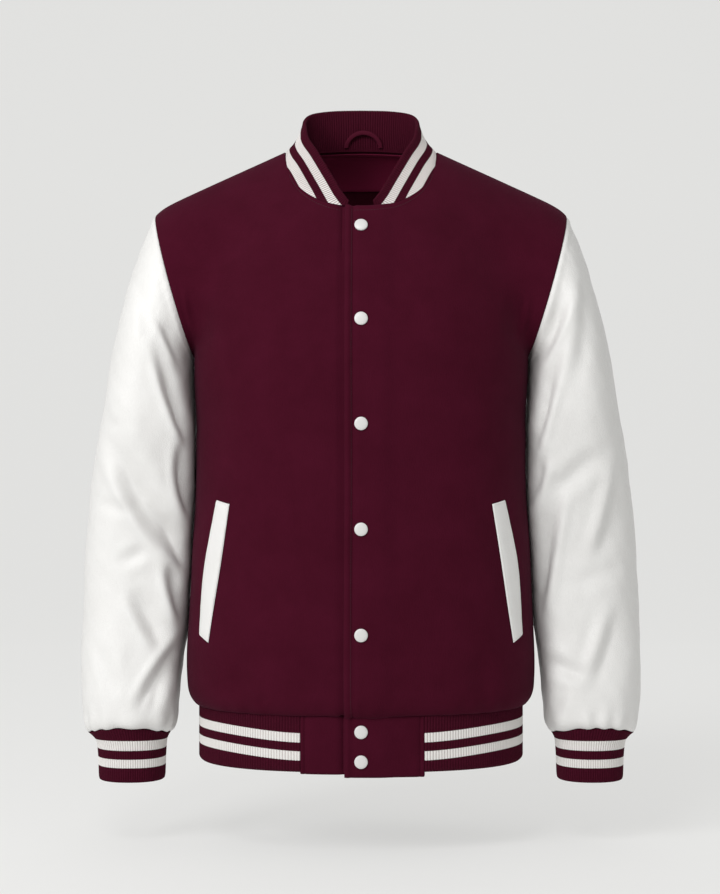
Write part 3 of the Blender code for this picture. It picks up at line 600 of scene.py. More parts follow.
# depths and widths of what the wool does beside its seams and stitches
woolRelief = {
    "wander": 0.0007, "wanderSize": 0.045, "seamFade": 0.012, "hemFade": 0.020,
    "edge": (0.0030, 0.0011), "hemEdge": (0.0020, 0.0008),
    "groove": 0.0007, "grooveWidth": 0.0011, "placketGroove": (0.0019, 0.0015),
    "pad": 0.0009, "padPlace": 0.45, "padWidth": 0.0026,
    "lapPress": 0.0026, "lapPressPlace": 0.0018, "lapPressWidth": 0.0024,
    "pucker": 0.0007, "puckerWave": 0.0052, "puckerSway": 2.4, "puckerSwayWave": 0.021,
    "puckerPlace": 0.008, "puckerSpread": 0.013, "deepestInside": 0.006,
}
woolFolds = {
    # start x, start z, bow, end x, end z, half width, depth
    "front": [
        (0.176, -0.165, 0.004, 0.168, -0.235, 0.014, 0.0030),
        (-0.178, -0.165, -0.004, -0.171, -0.240, 0.014, 0.0030),
        (0.185, -0.166, 0.002, 0.177, -0.219, 0.003, -0.0013),
        (-0.195, -0.155, -0.003, -0.182, -0.220, 0.003, -0.0013),
        (-0.104, -0.602, 0.000, -0.112, -0.616, 0.004, 0.0018),
        (0.150, -0.255, 0.006, 0.178, -0.330, 0.020, 0.0022),
        (-0.150, -0.262, -0.006, -0.178, -0.340, 0.020, 0.0022),
        (0.110, -0.110, 0.010, 0.176, -0.150, 0.022, 0.0018),
        (-0.108, -0.105, -0.010, -0.176, -0.148, 0.022, 0.0018),
        (0.060, -0.300, 0.006, 0.074, -0.520, 0.026, 0.0014),
        (-0.072, -0.300, -0.006, -0.086, -0.540, 0.026, 0.0014),
        (0.120, -0.560, 0.004, 0.132, -0.610, 0.013, 0.0016),
        (-0.124, -0.556, -0.004, -0.132, -0.610, 0.013, 0.0016),
    ],
    "back": [
        (0.172, -0.170, 0.005, 0.160, -0.262, 0.015, 0.0034),
        (-0.172, -0.175, -0.005, -0.162, -0.268, 0.015, 0.0034),
        (0.120, -0.100, 0.012, 0.176, -0.190, 0.022, 0.0024),
        (-0.118, -0.104, -0.012, -0.176, -0.194, 0.022, 0.0024),
        (0.060, -0.300, 0.012, 0.088, -0.560, 0.026, 0.0026),
        (-0.064, -0.310, -0.012, -0.080, -0.570, 0.026, 0.0024),
        (0.004, -0.360, 0.008, -0.006, -0.590, 0.024, -0.0016),
        (0.130, -0.540, 0.004, 0.142, -0.612, 0.014, 0.0018),
        (-0.126, -0.545, -0.004, -0.138, -0.612, 0.014, 0.0018),
    ],
}


def levelRows(front):
    # levels about the same distance apart up the panel, finer at the hem and the top
    samples = np.linspace(0, chest + 1.0, body["samples"])
    line = panel(front, np.full(samples.shape, 0.5), samples)
    run = runLength(line[:, None, :], 0)[:, 0]
    return np.interp(edgeSteps(run[-1], body["spacing"]), run, samples)


def lapLift(x):
    return body["lapLift"] * (1 - smoothStep(body["lapHalfWidth"] + 0.001, body["lapFade"], x))


def woolWander(seen, face, side):
    wander = woolRelief["wander"] * ripple(seen, woolRelief["wanderSize"], 1.0 + side)
    return foldsAt(seen, woolFolds[face]) + wander


def stitchGroove(distance, place, depth=woolRelief["groove"], width=woolRelief["grooveWidth"]):
    # the thread pulls the cloth down along its line
    return depth * hump(distance, place, width)


def placketPad(fromEdge):
    # padded strip between the front edge and its topstitch
    middle = woolRelief["padPlace"] * topstitch["fromEdge"]
    pad = woolRelief["pad"] * hump(fromEdge, middle, woolRelief["padWidth"])
    return stitchGroove(fromEdge, topstitch["fromEdge"], *woolRelief["placketGroove"]) - pad


def underLap(x):
    # the lower front sinks where the upper one's edge presses on it
    past = x - body["lapHalfWidth"]
    return woolRelief["lapPress"] * hump(past, woolRelief["lapPressPlace"], woolRelief["lapPressWidth"])


def panelShell(front, across, levels, face, side, lift=None):
    base = panel(front, across[None, :], levels[:, None])
    outward = gridNormals(base) * (1 if front else -1)
    fromStart, fromHem = runLength(base, 1), runLength(base, 0)
    fromEnd, fromTop = fromStart[:, -1:] - fromStart, fromHem[-1:] - fromHem
    moved = base.copy()
    if lift is not None:
        moved += outward * lift(base[..., 0])[..., None]
    seen = mirroredGrid(moved, side)
    inSeam = smoothStep(0.0, woolRelief["seamFade"], np.minimum.reduce([fromStart, fromEnd, fromTop]))
    depth = woolWander(seen, face, side) * inSeam * smoothStep(0.0, woolRelief["hemFade"], fromHem)
    # the wool puckers where the hem band gathers it
    sway = woolRelief["puckerSway"] * np.sin(seen[..., 0] / woolRelief["puckerSwayWave"])
    pucker = np.sin(seen[..., 0] / woolRelief["puckerWave"] + sway + side)
    low = hump(fromHem, woolRelief["puckerPlace"], woolRelief["puckerSpread"])
    depth += woolRelief["pucker"] * pucker * low * np.abs(outward[..., 1])
    edge, hemEdge = woolRelief["edge"], woolRelief["hemEdge"]
    depth += roundedEdge(fromStart, *edge) + roundedEdge(fromEnd, *edge)
    depth += roundedEdge(fromHem, *hemEdge) + roundedEdge(fromTop, *edge)
    if lift is not None:
        depth += placketPad(fromStart)
    elif front:
        depth += underLap(base[..., 0])
    besideNeck = smoothStep(body["neckShare"] + 0.01, body["neckShare"] - 0.01, np.abs(across))[None, :]
    depth += stitchGroove(fromTop, topstitch["fromNeck"]) * besideNeck
    depth += stitchGroove(fromTop, topstitch["fromShoulder"]) * (1 - besideNeck) * (0 if front else 1)
    outer = moved - outward * depth[..., None]
    followed = np.minimum(depth, woolRelief["deepestInside"]) * inSeam
    inner = moved - outward * (body["wall"] + followed)[..., None]
    uv = np.stack([fromStart, fromHem], axis=-1)
    return mirroredGrid(outer, side), mirroredGrid(inner, side), uv, mirroredGrid(outward, side)


def makeFronts():
    made = {}
    levels = levelRows(True)
    length = halfGirth * (1 + lapShare)
    across = edgeSteps(length, body["spacing"]) / halfGirth - lapShare
    for name, side, lift in (("left", 1, lapLift), ("right", -1, None)):
        outer, inner, uv, outward = panelShell(True, across, levels, "front", side, lift)
        piece = shell("front" + name.capitalize(), outer, inner, uv, wool)
        settle(piece, "front_" + name)
        made[name] = (outer, outward, across)
    return made


def makeBack():
    half = edgeSteps(halfGirth, body["spacing"], fineStart=False) / halfGirth
    across = np.concatenate([-half[::-1], half[1:]])
    outer, inner, uv, outward = panelShell(False, across, levelRows(False), "back", 1)
    settle(shell("backPanel", outer, inner, uv, wool), "back")
    return across, inner, outward


fronts = makeFronts()
backAcross, backInner, backOutward = makeBack()
print("wool panels made")


def lineAt(points, distances, at):
    # the line of points that lies a distance along each row (or column) of a grid
    return np.array([atPlaces(at, run, row) for row, run in zip(points, distances)])


def stitchRun(line, normals, pitch, length, radius):
    # one short thread after another along a line; each is a small six-sided spindle,
    # full from about a fifth to four fifths of its length, with its ends a little sunk
    full, sunk = (0.22, 0.78), 0.8
    run = runLength(line[:, None, :], 0)[:, 0]
    count = int((run[-1] - length) / pitch)
    points, faces = [], []
    for index in range(count):
        start = pitch * index + (run[-1] - pitch * count) / 2
        places = [start, start + length * full[0], start + length * full[1], start + length]
        middle = atPlaces(places, run, line)
        up = atPlaces(start + length / 2, run, normals)
        up = up / np.linalg.norm(up)
        side = np.cross(up, middle[-1] - middle[0])
        side = side / np.linalg.norm(side)
        first = len(points)
        points.append(middle[0] - up * radius * sunk)
        for place in middle[1:3]:
            for step in range(6):
                angle = math.pi * step / 3
                points.append(place + (side * math.cos(angle) + up * math.sin(angle)) * radius)
        points.append(middle[3] - up * radius * sunk)
        for step in range(6):
            after = (step + 1) % 6
            faces.append([first, first + 1 + after, first + 1 + step])
            faces.append([first + 1 + step, first + 1 + after, first + 7 + after, first + 7 + step])
            faces.append([first + 13, first + 7 + step, first + 7 + after])
    return points, faces


def stitchPiece(name, runs, thread):
    points, faces = [], []
    for runPoints, runFaces in runs:
        first = len(points)
        points += runPoints
        faces += [[corner + first for corner in face] for face in runFaces]
    piece = makePiece(name, np.array(points), faces, None, thread, 60)
    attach(piece, "root")
    return piece


def makeWoolStitches():
    size = (topstitch["pitch"], topstitch["length"], topstitch["radius"])
    runs = []
    outer, outward, _ = fronts["left"]
    line = lineAt(outer, runLength(outer, 1), topstitch["fromEdge"])
    runs.append(stitchRun(line[3:-3], outward[3:-3, 6], *size))
    # the neck's stitches begin at the upper front's edge, and past the lap on the lower front
    for name, begin in (("left", -lapShare * 0.6), ("right", lapShare * 1.1)):
        outer, outward, across = fronts[name]
        inNeckline = (np.abs(across) < body["neckShare"] - 0.012) & (across > begin)
        top = outer[::-1][:, inNeckline].transpose(1, 0, 2)
        line = lineAt(top, runLength(top, 1), topstitch["fromNeck"])
        runs.append(stitchRun(line, outward[-4][inNeckline], *size))
    stitchPiece("woolTopstitch", runs, maroonThread)


makeWoolStitches()
print("wool stitches made")


sleeves = {
    # squarer next to the body, easing into the round of the cuff
    "power": 2.2, "innerPower": 3.4, "easeStart": 4,
    # its front inner side leans against the body, down to where they part
    "lean": 0.0080, "leanLevels": (2.2, 3.6),
    "wall": 0.0018, "seamGap": 0.0003,
    # z, inner x, outer x, middle y, half depth
    "sections": [
        (-0.3200, 0.1882, 0.2965, 0.004, 0.0770),
        (-0.3800, 0.1885, 0.3070, 0.010, 0.0715),
        (-0.4500, 0.1922, 0.3130, 0.014, 0.0665),
        (-0.5200, 0.1962, 0.3160, 0.008, 0.0630),
        (-0.5700, 0.2022, 0.3166, -0.002, 0.0610),
        (-0.6120, 0.2062, 0.3145, -0.012, 0.0580),
        (-0.6360, 0.2078, 0.3120, -0.018, 0.0550),
        (-0.6460, 0.2104, 0.3096, -0.020, 0.0505),
        (-0.6505, 0.2146, 0.3062, -0.021, 0.0445),
    ],
    # the cuff seam rises in front and behind and hangs at the sides
    "arch": 0.0040, "archStart": 5,
    "headDirection": (0.42, 0.0, -0.90), "underarmDirection": (0.90, 0.0, -0.35),
    "sideSpread": 0.12, "underarmPull": 0.009, "headPull": 1.05, "headBlend": 0.5,
    "columns": 132, "spacing": 0.0032, "samples": 1200, "headFade": 0.014, "cuffFade": 0.010,
    "wander": (0.0010, 0.030), "crinkle": (0.00045, 0.0095),
    # the cloth fills out a little where it lies on the body's side
    "fill": 0.0007, "fillWidth": 0.16,
    # gathers over the cuff and pucker under the armhole seam: number, depth, place and spread
    "gathers": (13, 0.0012, 0.010, 0.016), "puckers": (34, 0.00035, 0.006, 0.010),
    # the seam allowance lifts the leather just past the armhole
    "allowance": 0.0007, "allowancePlace": 0.0055, "allowanceSpread": 0.0030,
    "headEdge": (0.0036, 0.0016), "cuffEdge": (0.0024, 0.0010), "followed": (-0.004, 0.015),
    "clothPerRadian": 0.06,
}
# the front folds were picked on a grid of square cells over the front: the size of a cell,
# and the column and row of the cell that lies at x = 0 and at the level
foldGrid = {"cell": 0.00111, "column": 361, "row": 447, "level": -0.335}
frontPicks = {
    # (column, row) of the start, the middle and the end, then half width and depth in metres, and lean
    "left": [
        ((549, 278), (534, 348), (528, 440), 0.0075, -0.0026),
        ((530, 352), (528, 480), (533, 640), 0.0070, -0.0045),
        ((563, 296), (540, 352), (518, 388), 0.0082, 0.0100, -0.6),
        ((553, 362), (539, 414), (518, 492), 0.0088, 0.0115, -0.6),
        ((577, 256), (571, 325), (558, 405), 0.0090, -0.0036),
        ((592, 250), (584, 318), (571, 396), 0.0125, 0.0026, 0.7),
        ((540, 452), (534, 484), (520, 520), 0.0078, 0.0105, -0.5),
        ((608, 448), (578, 471), (543, 500), 0.0100, 0.0040),
        ((614, 456), (603, 505), (584, 566), 0.0070, -0.0026),
        ((628, 452), (617, 507), (592, 572), 0.0115, 0.0042, 0.6),
        ((558, 486), (547, 547), (535, 632), 0.0090, 0.0115, -0.6),
        ((562, 586), (594, 578), (630, 560), 0.0090, 0.0018),
        ((624, 606), (609, 650), (588, 700), 0.0115, 0.0048, 0.6),
        ((607, 604), (597, 640), (580, 684), 0.0070, -0.0022),
        ((534, 652), (558, 666), (594, 674), 0.0080, 0.0046),
        ((562, 684), (556, 704), (544, 724), 0.0058, 0.0022),
    ],
    "right": [
        ((174, 278), (189, 348), (195, 440), 0.0075, -0.0026),
        ((193, 352), (195, 480), (190, 640), 0.0070, -0.0045),
        ((158, 314), (175, 346), (190, 384), 0.0058, 0.0050, 0.5),
        ((159, 346), (175, 400), (202, 466), 0.0086, 0.0115, 0.8),
        ((185, 440), (183, 482), (202, 536), 0.0085, 0.0115, 0.7),
        ((104, 424), (136, 498), (202, 580), 0.0108, 0.0115, 0.6),
        ((154, 512), (177, 547), (203, 584), 0.0088, 0.0095, 0.6),
        ((170, 558), (176, 593), (191, 636), 0.0088, 0.0110, 0.7),
        ((194, 632), (164, 668), (138, 716), 0.0088, 0.0095, 0.6),
        ((170, 670), (160, 692), (152, 716), 0.0045, 0.0022),
        ((132, 588), (147, 617), (168, 652), 0.0100, 0.0085, 0.6),
        ((112, 562), (127, 559), (150, 547), 0.0070, 0.0026),
        ((90, 504), (110, 506), (138, 517), 0.0070, 0.0022),
        ((97, 640), (104, 668), (120, 702), 0.0075, 0.0032, 0.5),
        ((126, 256), (141, 298), (152, 350), 0.0080, 0.0026, 0.5),
        ((98, 414), (112, 424), (128, 420), 0.0060, 0.0016),
    ],
}
# the back folds: start x, start z, bow, end x, end z, half width, depth, lean
sleeveFolds = {
    ("left", "back"): [
        (0.226, -0.180, 0.003, 0.184, -0.268, 0.010, 0.0075, -0.7),
        (0.286, -0.350, 0.004, 0.226, -0.372, 0.014, -0.0030),
        (0.272, -0.392, 0.004, 0.198, -0.440, 0.011, 0.0060, 0.4),
        (0.206, -0.528, 0.003, 0.246, -0.592, 0.011, 0.0050),
        (0.236, -0.250, -0.004, 0.196, -0.345, 0.009, 0.0060, -0.6),
        (0.262, -0.310, 0.003, 0.236, -0.345, 0.007, 0.0014),
        (0.262, -0.446, 0.003, 0.208, -0.500, 0.009, 0.0045, 0.5),
        (0.290, -0.575, 0.002, 0.250, -0.628, 0.009, 0.0035),
    ],
    ("right", "back"): [
        (-0.222, -0.188, -0.003, -0.183, -0.276, 0.010, 0.0075, 0.7),
        (-0.266, -0.356, -0.004, -0.196, -0.372, 0.011, 0.0055),
        (-0.280, -0.420, -0.004, -0.222, -0.446, 0.014, -0.0030),
        (-0.262, -0.556, -0.003, -0.218, -0.612, 0.011, 0.0050),
        (-0.240, -0.260, 0.004, -0.197, -0.338, 0.009, 0.0060, 0.6),
        (-0.256, -0.322, -0.003, -0.230, -0.350, 0.007, 0.0014),
        (-0.274, -0.456, -0.003, -0.210, -0.508, 0.009, 0.0045, -0.5),
        (-0.292, -0.540, -0.002, -0.258, -0.606, 0.009, 0.0035),
    ],
}


def onGrid(cell):
    column, row = cell
    x = (column - foldGrid["column"]) * foldGrid["cell"]
    return x, foldGrid["level"] - (row - foldGrid["row"]) * foldGrid["cell"]


def pickedFold(start, middle, end, *shape):
    # a picked fold as foldsAt takes it, to the millimetre, and its bow to a tenth of one
    (startX, startZ), (middleX, middleZ), (endX, endZ) = onGrid(start), onGrid(middle), onGrid(end)
    runX, runZ = endX - startX, endZ - startZ
    offX, offZ = middleX - (startX + endX) / 2, middleZ - (startZ + endZ) / 2
    bow = (offZ * runX - offX * runZ) / math.hypot(runX, runZ)
    return (round(startX, 3), round(startZ, 3), round(bow, 4), round(endX, 3), round(endZ, 3), *shape)


for sideName, picks in frontPicks.items():
    sleeveFolds[sideName, "front"] = [pickedFold(*pick) for pick in picks]


def armhole(turn):
    onFront = panel(True, np.ones(turn.shape), chest + np.minimum(turn, 1.0))
    onBack = panel(False, np.ones(turn.shape), chest + np.clip(2 - turn, 0.0, 1.0))
    return np.where((turn <= 1)[..., None], onFront, onBack)


def sleeveRing(turn, level):
    z, innerX, outerX, middleY, halfDepth = np.moveaxis(spline(sleeves["sections"], level), -1, 0)
    last = len(sleeves["sections"]) - 1
    eased = mixed(sleeves["innerPower"], sleeves["power"], smoothStep(sleeves["easeStart"], last, level))
    power = np.where(np.abs(turn - 1) > 0.5, eased, sleeves["power"])
    x, y = ring(-90 + 180 * turn, (outerX - innerX) / 2, halfDepth, halfDepth, power)
    inward = np.where((x < 0) & (y < 0), -2 * x / (outerX - innerX), 0.0)
    leaning = sleeves["lean"] * (1 - smoothStep(*sleeves["leanLevels"], level))
    x = x - leaning * (y / halfDepth) ** 2 * inward
    arched = smoothStep(sleeves["archStart"], last, level)
    rise = sleeves["arch"] * (2 * (y / halfDepth) ** 2 - 1) * arched
    return point3((innerX + outerX) / 2 + x, middleY + y, z + rise)


def sleeveSurface(turn, level):
    # wearer's left sleeve: level -1 is the armhole, 0 the biceps
    low = sleeveRing(turn, np.maximum(level, 0.0))
    toTop = ((1 - np.cos(math.pi * turn)) / 2)[..., None]
    direction = mixed(np.array(sleeves["underarmDirection"]), np.array(sleeves["headDirection"]), toTop)
    direction = direction - point3(0, sleeves["sideSpread"] * np.sin(math.pi * turn), 0)
    direction = unit(direction)
    start = armhole(turn) + direction * sleeves["seamGap"]
    end = sleeveRing(turn, np.zeros(turn.shape))
    reach = np.linalg.norm(end - start, axis=-1, keepdims=True)
    headReach = reach * sleeves["headPull"]
    pullIn = direction * mixed(sleeves["underarmPull"], headReach, toTop ** sleeves["headBlend"])
    # the sleeve leaves the biceps the way its next ring down goes on
    justBelow = sleeveRing(turn, np.full(turn.shape, 0.02))
    pullOut = unit(justBelow - end) * reach
    high = hermite(start, end, pullIn, pullOut, (level + 1)[..., None])
    return np.where((level >= 0)[..., None], low, high)


def sleeveRelief(seen, facing, fromHead, fromCuff, turns, side, name):
    # how deep the leather lies below its smooth surface
    around = turns[None, :] * math.pi
    free = smoothStep(0.0, sleeves["headFade"], fromHead) * smoothStep(0.0, sleeves["cuffFade"], fromCuff)
    depth = foldsAt(seen, sleeveFolds[name, "front"]) * np.clip(-facing, 0, 1)
    depth += foldsAt(seen, sleeveFolds[name, "back"]) * np.clip(facing, 0, 1)
    (wander, wanderSize), (crinkle, crinkleSize) = sleeves["wander"], sleeves["crinkle"]
    depth += wander * ripple(seen, wanderSize, 3.0 * side) + crinkle * ripple(seen, crinkleSize, 5.0 * side)
    depth -= sleeves["fill"] * hump(np.minimum(turns, 2 - turns)[None, :], 0.0, sleeves["fillWidth"])
    depth *= free
    count, deep, place, spread = sleeves["gathers"]
    gathers = np.sin(count * around + 1.6 * np.sin(3 * around + side) + side)
    depth += deep * gathers * hump(fromCuff, place, spread)
    count, deep, place, spread = sleeves["puckers"]
    pucker = np.sin(count * around + 2.0 * np.sin(5 * around))
    toTop = (1 - np.cos(around)) / 2
    depth += deep * pucker * toTop * hump(fromHead, place, spread)
    depth += roundedEdge(fromHead, *sleeves["headEdge"]) + roundedEdge(fromCuff, *sleeves["cuffEdge"])
    depth -= sleeves["allowance"] * hump(fromHead, sleeves["allowancePlace"], sleeves["allowanceSpread"])
    return depth, free


def makeSleeves():
    turns = np.linspace(0, 2, sleeves["columns"] + 1)[:-1]
    samples = np.linspace(-1, len(sleeves["sections"]) - 1, sleeves["samples"])
    line = sleeveSurface(np.full(samples.shape, 0.75), samples)
    run = runLength(line[:, None, :], 0)[:, 0]
    levels = np.interp(edgeSteps(run[-1], sleeves["spacing"]), run, samples)
    base = sleeveSurface(*np.broadcast_arrays(turns[None, :], levels[:, None]))
    outward = gridNormals(base, closed=True)
    outward = turnedOut(outward, base - base.mean(axis=1, keepdims=True))
    fromHead = runLength(base, 0)
    fromCuff = fromHead[-1:] - fromHead
    around = turns[None, :] * math.pi * sleeves["clothPerRadian"]
    uv = np.stack(np.broadcast_arrays(around, fromHead), axis=-1)
    for side, name in ((1, "left"), (-1, "right")):
        seen, facing = mirroredGrid(base, side), outward[..., 1]
        depth, free = sleeveRelief(seen, facing, fromHead, fromCuff, turns, side, name)
        outer = mirroredGrid(base - outward * depth[..., None], side)
        followed = np.clip(depth, *sleeves["followed"]) * free
        inner = mirroredGrid(base - outward * (sleeves["wall"] + followed)[..., None], side)
        piece = shell("sleeve" + name.capitalize(), outer, inner, uv, leather, closed=True)
        settle(piece, "sleeve_" + name)


makeSleeves()
print("sleeves made")


def ribbed(phase):
    # rounded rib with a narrow valley, 0 to 1
    return np.abs(np.sin(math.pi * phase)) ** knit["ribPower"]


def ribShell(name, surface, ribs, rows, closed, material, start=0.0, stop=1.0):
    # surface(along, row) gives points, normals and the distance down the band
    count = ribs * knit["columnsPerRib"]
    along = np.linspace(start, stop, count + 1)
    phase = np.linspace(0, ribs, count + 1)
    if closed:
        along, phase = along[:-1], phase[:-1]
    points, normals, down = surface(*np.broadcast_arrays(along[None, :], rows[:, None]))
    raised = ribbed(phase)[None, :] * knit["height"]
    girth = runLength(points, 1)
    fromTop = runLength(points, 0)
    fromEnd = fromTop[-1:] - fromTop
    turnIn = roundedEdge(fromTop, *knit["topEdge"]) + roundedEdge(fromEnd, *knit["bottomEdge"])
    if not closed:
        turnIn = turnIn + roundedEdge(girth, *knit["endEdge"])
        turnIn = turnIn + roundedEdge(girth[:, -1:] - girth, *knit["endEdge"])
    outer = points + normals * (raised - turnIn)[..., None]
    # inside, the ribs are flatter and the edges turn in half as far
    inner = points - normals * (knit["wall"] + raised * knit["innerShare"] - turnIn * 0.5)[..., None]
    u = np.broadcast_to(phase[None, :] * knit["pitch"], down.shape)
    return shell(name, outer, inner, np.stack([u, down], axis=-1), material, closed)


cuffs = {
    "ribs": 90, "middleY": -0.021,
    # z, inner x, outer x, half depth
    "sections": [
        (-0.6508, 0.2146, 0.3062, 0.0445),
        (-0.6630, 0.2188, 0.2974, 0.0395),
        (-0.6800, 0.2202, 0.2948, 0.0375),
        (-0.7042, 0.2212, 0.2938, 0.0370),
        (-0.7072, 0.2236, 0.2914, 0.0346),
    ],
    "stripes": [(0.0104, 0.0209), (0.0309, 0.0403)],
}
cuffKnit = makeKnit("cuffKnit", cuffs["stripes"])


def cuffSurface(along, row):
    z, innerX, outerX, halfDepth = np.moveaxis(spline(cuffs["sections"], row), -1, 0)
    halfWidth = (outerX - innerX) / 2
    x, y = ring(360 * along, halfWidth, halfDepth, halfDepth, sleeves["power"])
    normals = unit(point3(x / halfWidth ** 2, y / halfDepth ** 2, 0))
    rise = sleeves["arch"] * (2 * (y / halfDepth) ** 2 - 1) * np.clip(1 - row, 0, 1.1)
    points = point3((innerX + outerX) / 2 + x, cuffs["middleY"] + y, z + rise)
    return points, normals, cuffs["sections"][0][0] - z


def makeCuffs():
    # rows in steps of the sections, closer together at the seam and at the lower edge
    rows = np.concatenate([
        [-0.1, -0.05, 0.0, 0.07, 0.15], np.linspace(0.26, 1, 8), np.linspace(1.12, 2, 9),
        np.linspace(2.1, 3, 11), [3.25, 3.5, 3.75, 4.0],
    ])
    for side, name in ((1, "left"), (-1, "right")):
        def surface(along, row):
            points, normals, down = cuffSurface(along, row)
            return mirroredGrid(points, side), mirroredGrid(normals, side), down
        piece = ribShell("cuff" + name.capitalize(), surface, cuffs["ribs"], rows, True, cuffKnit)
        settle(piece, "cuff_" + name)


makeCuffs()

hem = {
    "top": -0.6253, "ribEnd": -0.6852, "size": (0.1824, 0.1264, 0.1182), "tuck": 0.0017, "tuckHeight": 0.004,
    "tabEnd": {"right": -0.6876, "left": -0.6906}, "tabEdge": {"right": 0.066, "left": 0.069},
    "tabSpacing": 0.003, "tabUnderWool": 0.0012, "ribUnderTab": 0.15,
    "ribs": 318, "stripes": [(0.0180, 0.0280), (0.0376, 0.0474)],
    # how far the stripes climb, and between which distances from the middle
    "sideRise": 0.0062, "riseFrom": 0.060, "riseTo": 0.175,
    # the tabs' rounded edges, and their stitch grooves: place, depth and width
    "tabSideEdge": (0.003, 0.0012), "tabTopEdge": (0.0025, 0.0010), "tabEndEdge": (0.0035, 0.0014),
    "endGroove": (0.0065, 0.0014, 0.0013), "sideGroove": (0.0055, 0.0016, 0.0013),
    "tabWander": (0.0004, 0.018),
}
hemKnit = makeKnit("hemKnit", hem["stripes"])


def hemRing(turn):
    return ring(turn, *hem["size"], body["ringPower"])


def hemSurface(turn, z, end):
    x, y = hemRing(turn)
    along = unit(point3(*hemRing(turn + 0.5), z) - point3(*hemRing(turn - 0.5), z))
    normals = point3(along[..., 1], -along[..., 0], 0)
    normals *= np.where(normals[..., 0] * x + normals[..., 1] * y < 0, -1, 1)[..., None]
    # the last millimetres above the end draw in
    tuck = hem["tuck"] * (1 - smoothStep(0.0, hem["tuckHeight"], z - end))
    return point3(x, y, z) - normals * tuck[..., None], normals


def hemTurn(x):
    turns = np.linspace(0, 80, 2000)
    return float(np.interp(x, hemRing(turns)[0], turns))


def makeHemRib():
    # the rib runs a hair under the tabs and the wool, where it is sewn in
    start = hemTurn(hem["tabEdge"]["left"]) - hem["ribUnderTab"]
    stop = 360 - hemTurn(hem["tabEdge"]["right"]) + hem["ribUnderTab"]
    tall = hem["top"] - hem["ribEnd"]
    rows = np.concatenate([
        [-0.0014, -0.0006, 0.0004, 0.002], np.linspace(0.004, tall - 0.0062, 18),
        tall - np.array([0.0044, 0.0026, 0.0012, 0.0]),
    ])

    def surface(along, down):
        points, normals = hemSurface(along, hem["top"] - down, hem["ribEnd"])
        # the stripes climb towards the side seams and run level round the back
        climb = smoothStep(hem["riseFrom"], hem["riseTo"], np.abs(points[..., 0]))
        climb = np.where(points[..., 1] > 0, 1.0, climb)
        return points, normals, down + hem["sideRise"] * climb

    piece = ribShell("hemRib", surface, hem["ribs"], rows, False, hemKnit, start, stop)
    settle(piece, "hem_rib")


def makeHemTab(name, side):
    end = hem["tabEnd"][name]
    lap, edge = -hemTurn(body["lapHalfWidth"]), hemTurn(hem["tabEdge"][name])
    arc = math.radians(edge - lap) * hem["size"][1]
    turns = lap + edgeSteps(arc, hem["tabSpacing"]) / arc * (edge - lap)
    top = hem["top"] + hem["tabUnderWool"]
    heights = top - edgeSteps(top - end, hem["tabSpacing"])
    turnGrid, heightGrid = np.broadcast_arrays(turns[None, :], heights[:, None])
    points, normals = hemSurface(turnGrid, heightGrid, end)
    if name == "left":
        points = points + normals * lapLift(points[..., 0])[..., None]
    fromSide, fromTop = runLength(points, 1), runLength(points, 0)
    fromOuter, fromEnd = fromSide[:, -1:] - fromSide, fromTop[-1:] - fromTop
    depth = roundedEdge(fromSide, *hem["tabSideEdge"]) + roundedEdge(fromOuter, *hem["tabSideEdge"])
    depth += roundedEdge(fromTop, *hem["tabTopEdge"]) + roundedEdge(fromEnd, *hem["tabEndEdge"])
    wander, wanderSize = hem["tabWander"]
    depth += wander * ripple(points, wanderSize, side) + stitchGroove(fromEnd, *hem["endGroove"])
    depth += stitchGroove(fromOuter, *hem["sideGroove"])
    depth += placketPad(fromSide) if name == "left" else underLap(points[..., 0])
    outer = mirroredGrid(points - normals * depth[..., None], side)
    inner = mirroredGrid(points - normals * (body["wall"] + 0.3 * depth)[..., None], side)
    uv = np.stack([fromSide, fromTop], axis=-1)
    piece = shell("hemTab" + name.capitalize(), outer, inner, uv, wool)
    settle(piece, "hem_tab_" + name)


makeHemRib()
makeHemTab("left", 1)
makeHemTab("right", -1)

collar = {
    "wall": 0.0030, "ribs": 176, "sag": 0.05, "samples": 900,
    # rows down the face in shares of its height: the foot runs past the neck seam, so no light shows
    "foot": (1.024, 0.995, 0.97), "faceRows": (0.93, 0.04, 20),
    # the knit thins to this share where the collar runs out at the front, between these heights
    "thinnest": 0.4, "thinFrom": 0.018, "thinTo": 0.004,
    # x, y, z of the upper edge, and the neck seam's turn below it
    "edge": [
        (0.0140, -0.0858, -0.0662, 9.0),
        (0.0222, -0.0785, -0.0558, 27.5),
        (0.0320, -0.0670, -0.0385, 43.6),
        (0.0502, -0.0460, -0.0065, 66.0),
        (0.0610, -0.0260, 0.0115, 80.6),
        (0.0650, -0.0020, 0.0280, 97.0),
        (0.0652, 0.0230, 0.0395, 115.0),
        (0.0575, 0.0460, 0.0485, 135.0),
        (0.0340, 0.0610, 0.0540, 157.0),
        (0.0000, 0.0650, 0.0555, 180.0),
    ],
    "stripes": [(0.0085, 0.0180), (0.0265, 0.0360)],
}
# the collar's rib valleys take wider painted shade, at full strength
collarKnit = makeKnit("collarKnit", collar["stripes"], 0.85, 1.0)


def collarFace(along, down):
    # along 0 is the right front end, 1 the centre back and 2 the left front end
    last = len(collar["edge"]) - 1
    side = np.where(along <= 1, -1.0, 1.0)
    place = np.where(along <= 1, along, 2 - along) * last
    x, y, z, turn = np.moveaxis(spline(collar["edge"], place), -1, 0)
    upper, lower = point3(x, y, z), neckSeam(np.minimum(turn, 180.0))
    tall = np.linalg.norm(upper - lower, axis=-1)
    sag = collar["sag"] * tall * 4 * down * (1 - down)
    inwardly = unit(lower * np.array([1.0, 1.0, 0.0]))
    points = mixed(upper, lower, down[..., None]) - inwardly * sag[..., None]
    return points * point3(side, 1.0, 1.0), tall


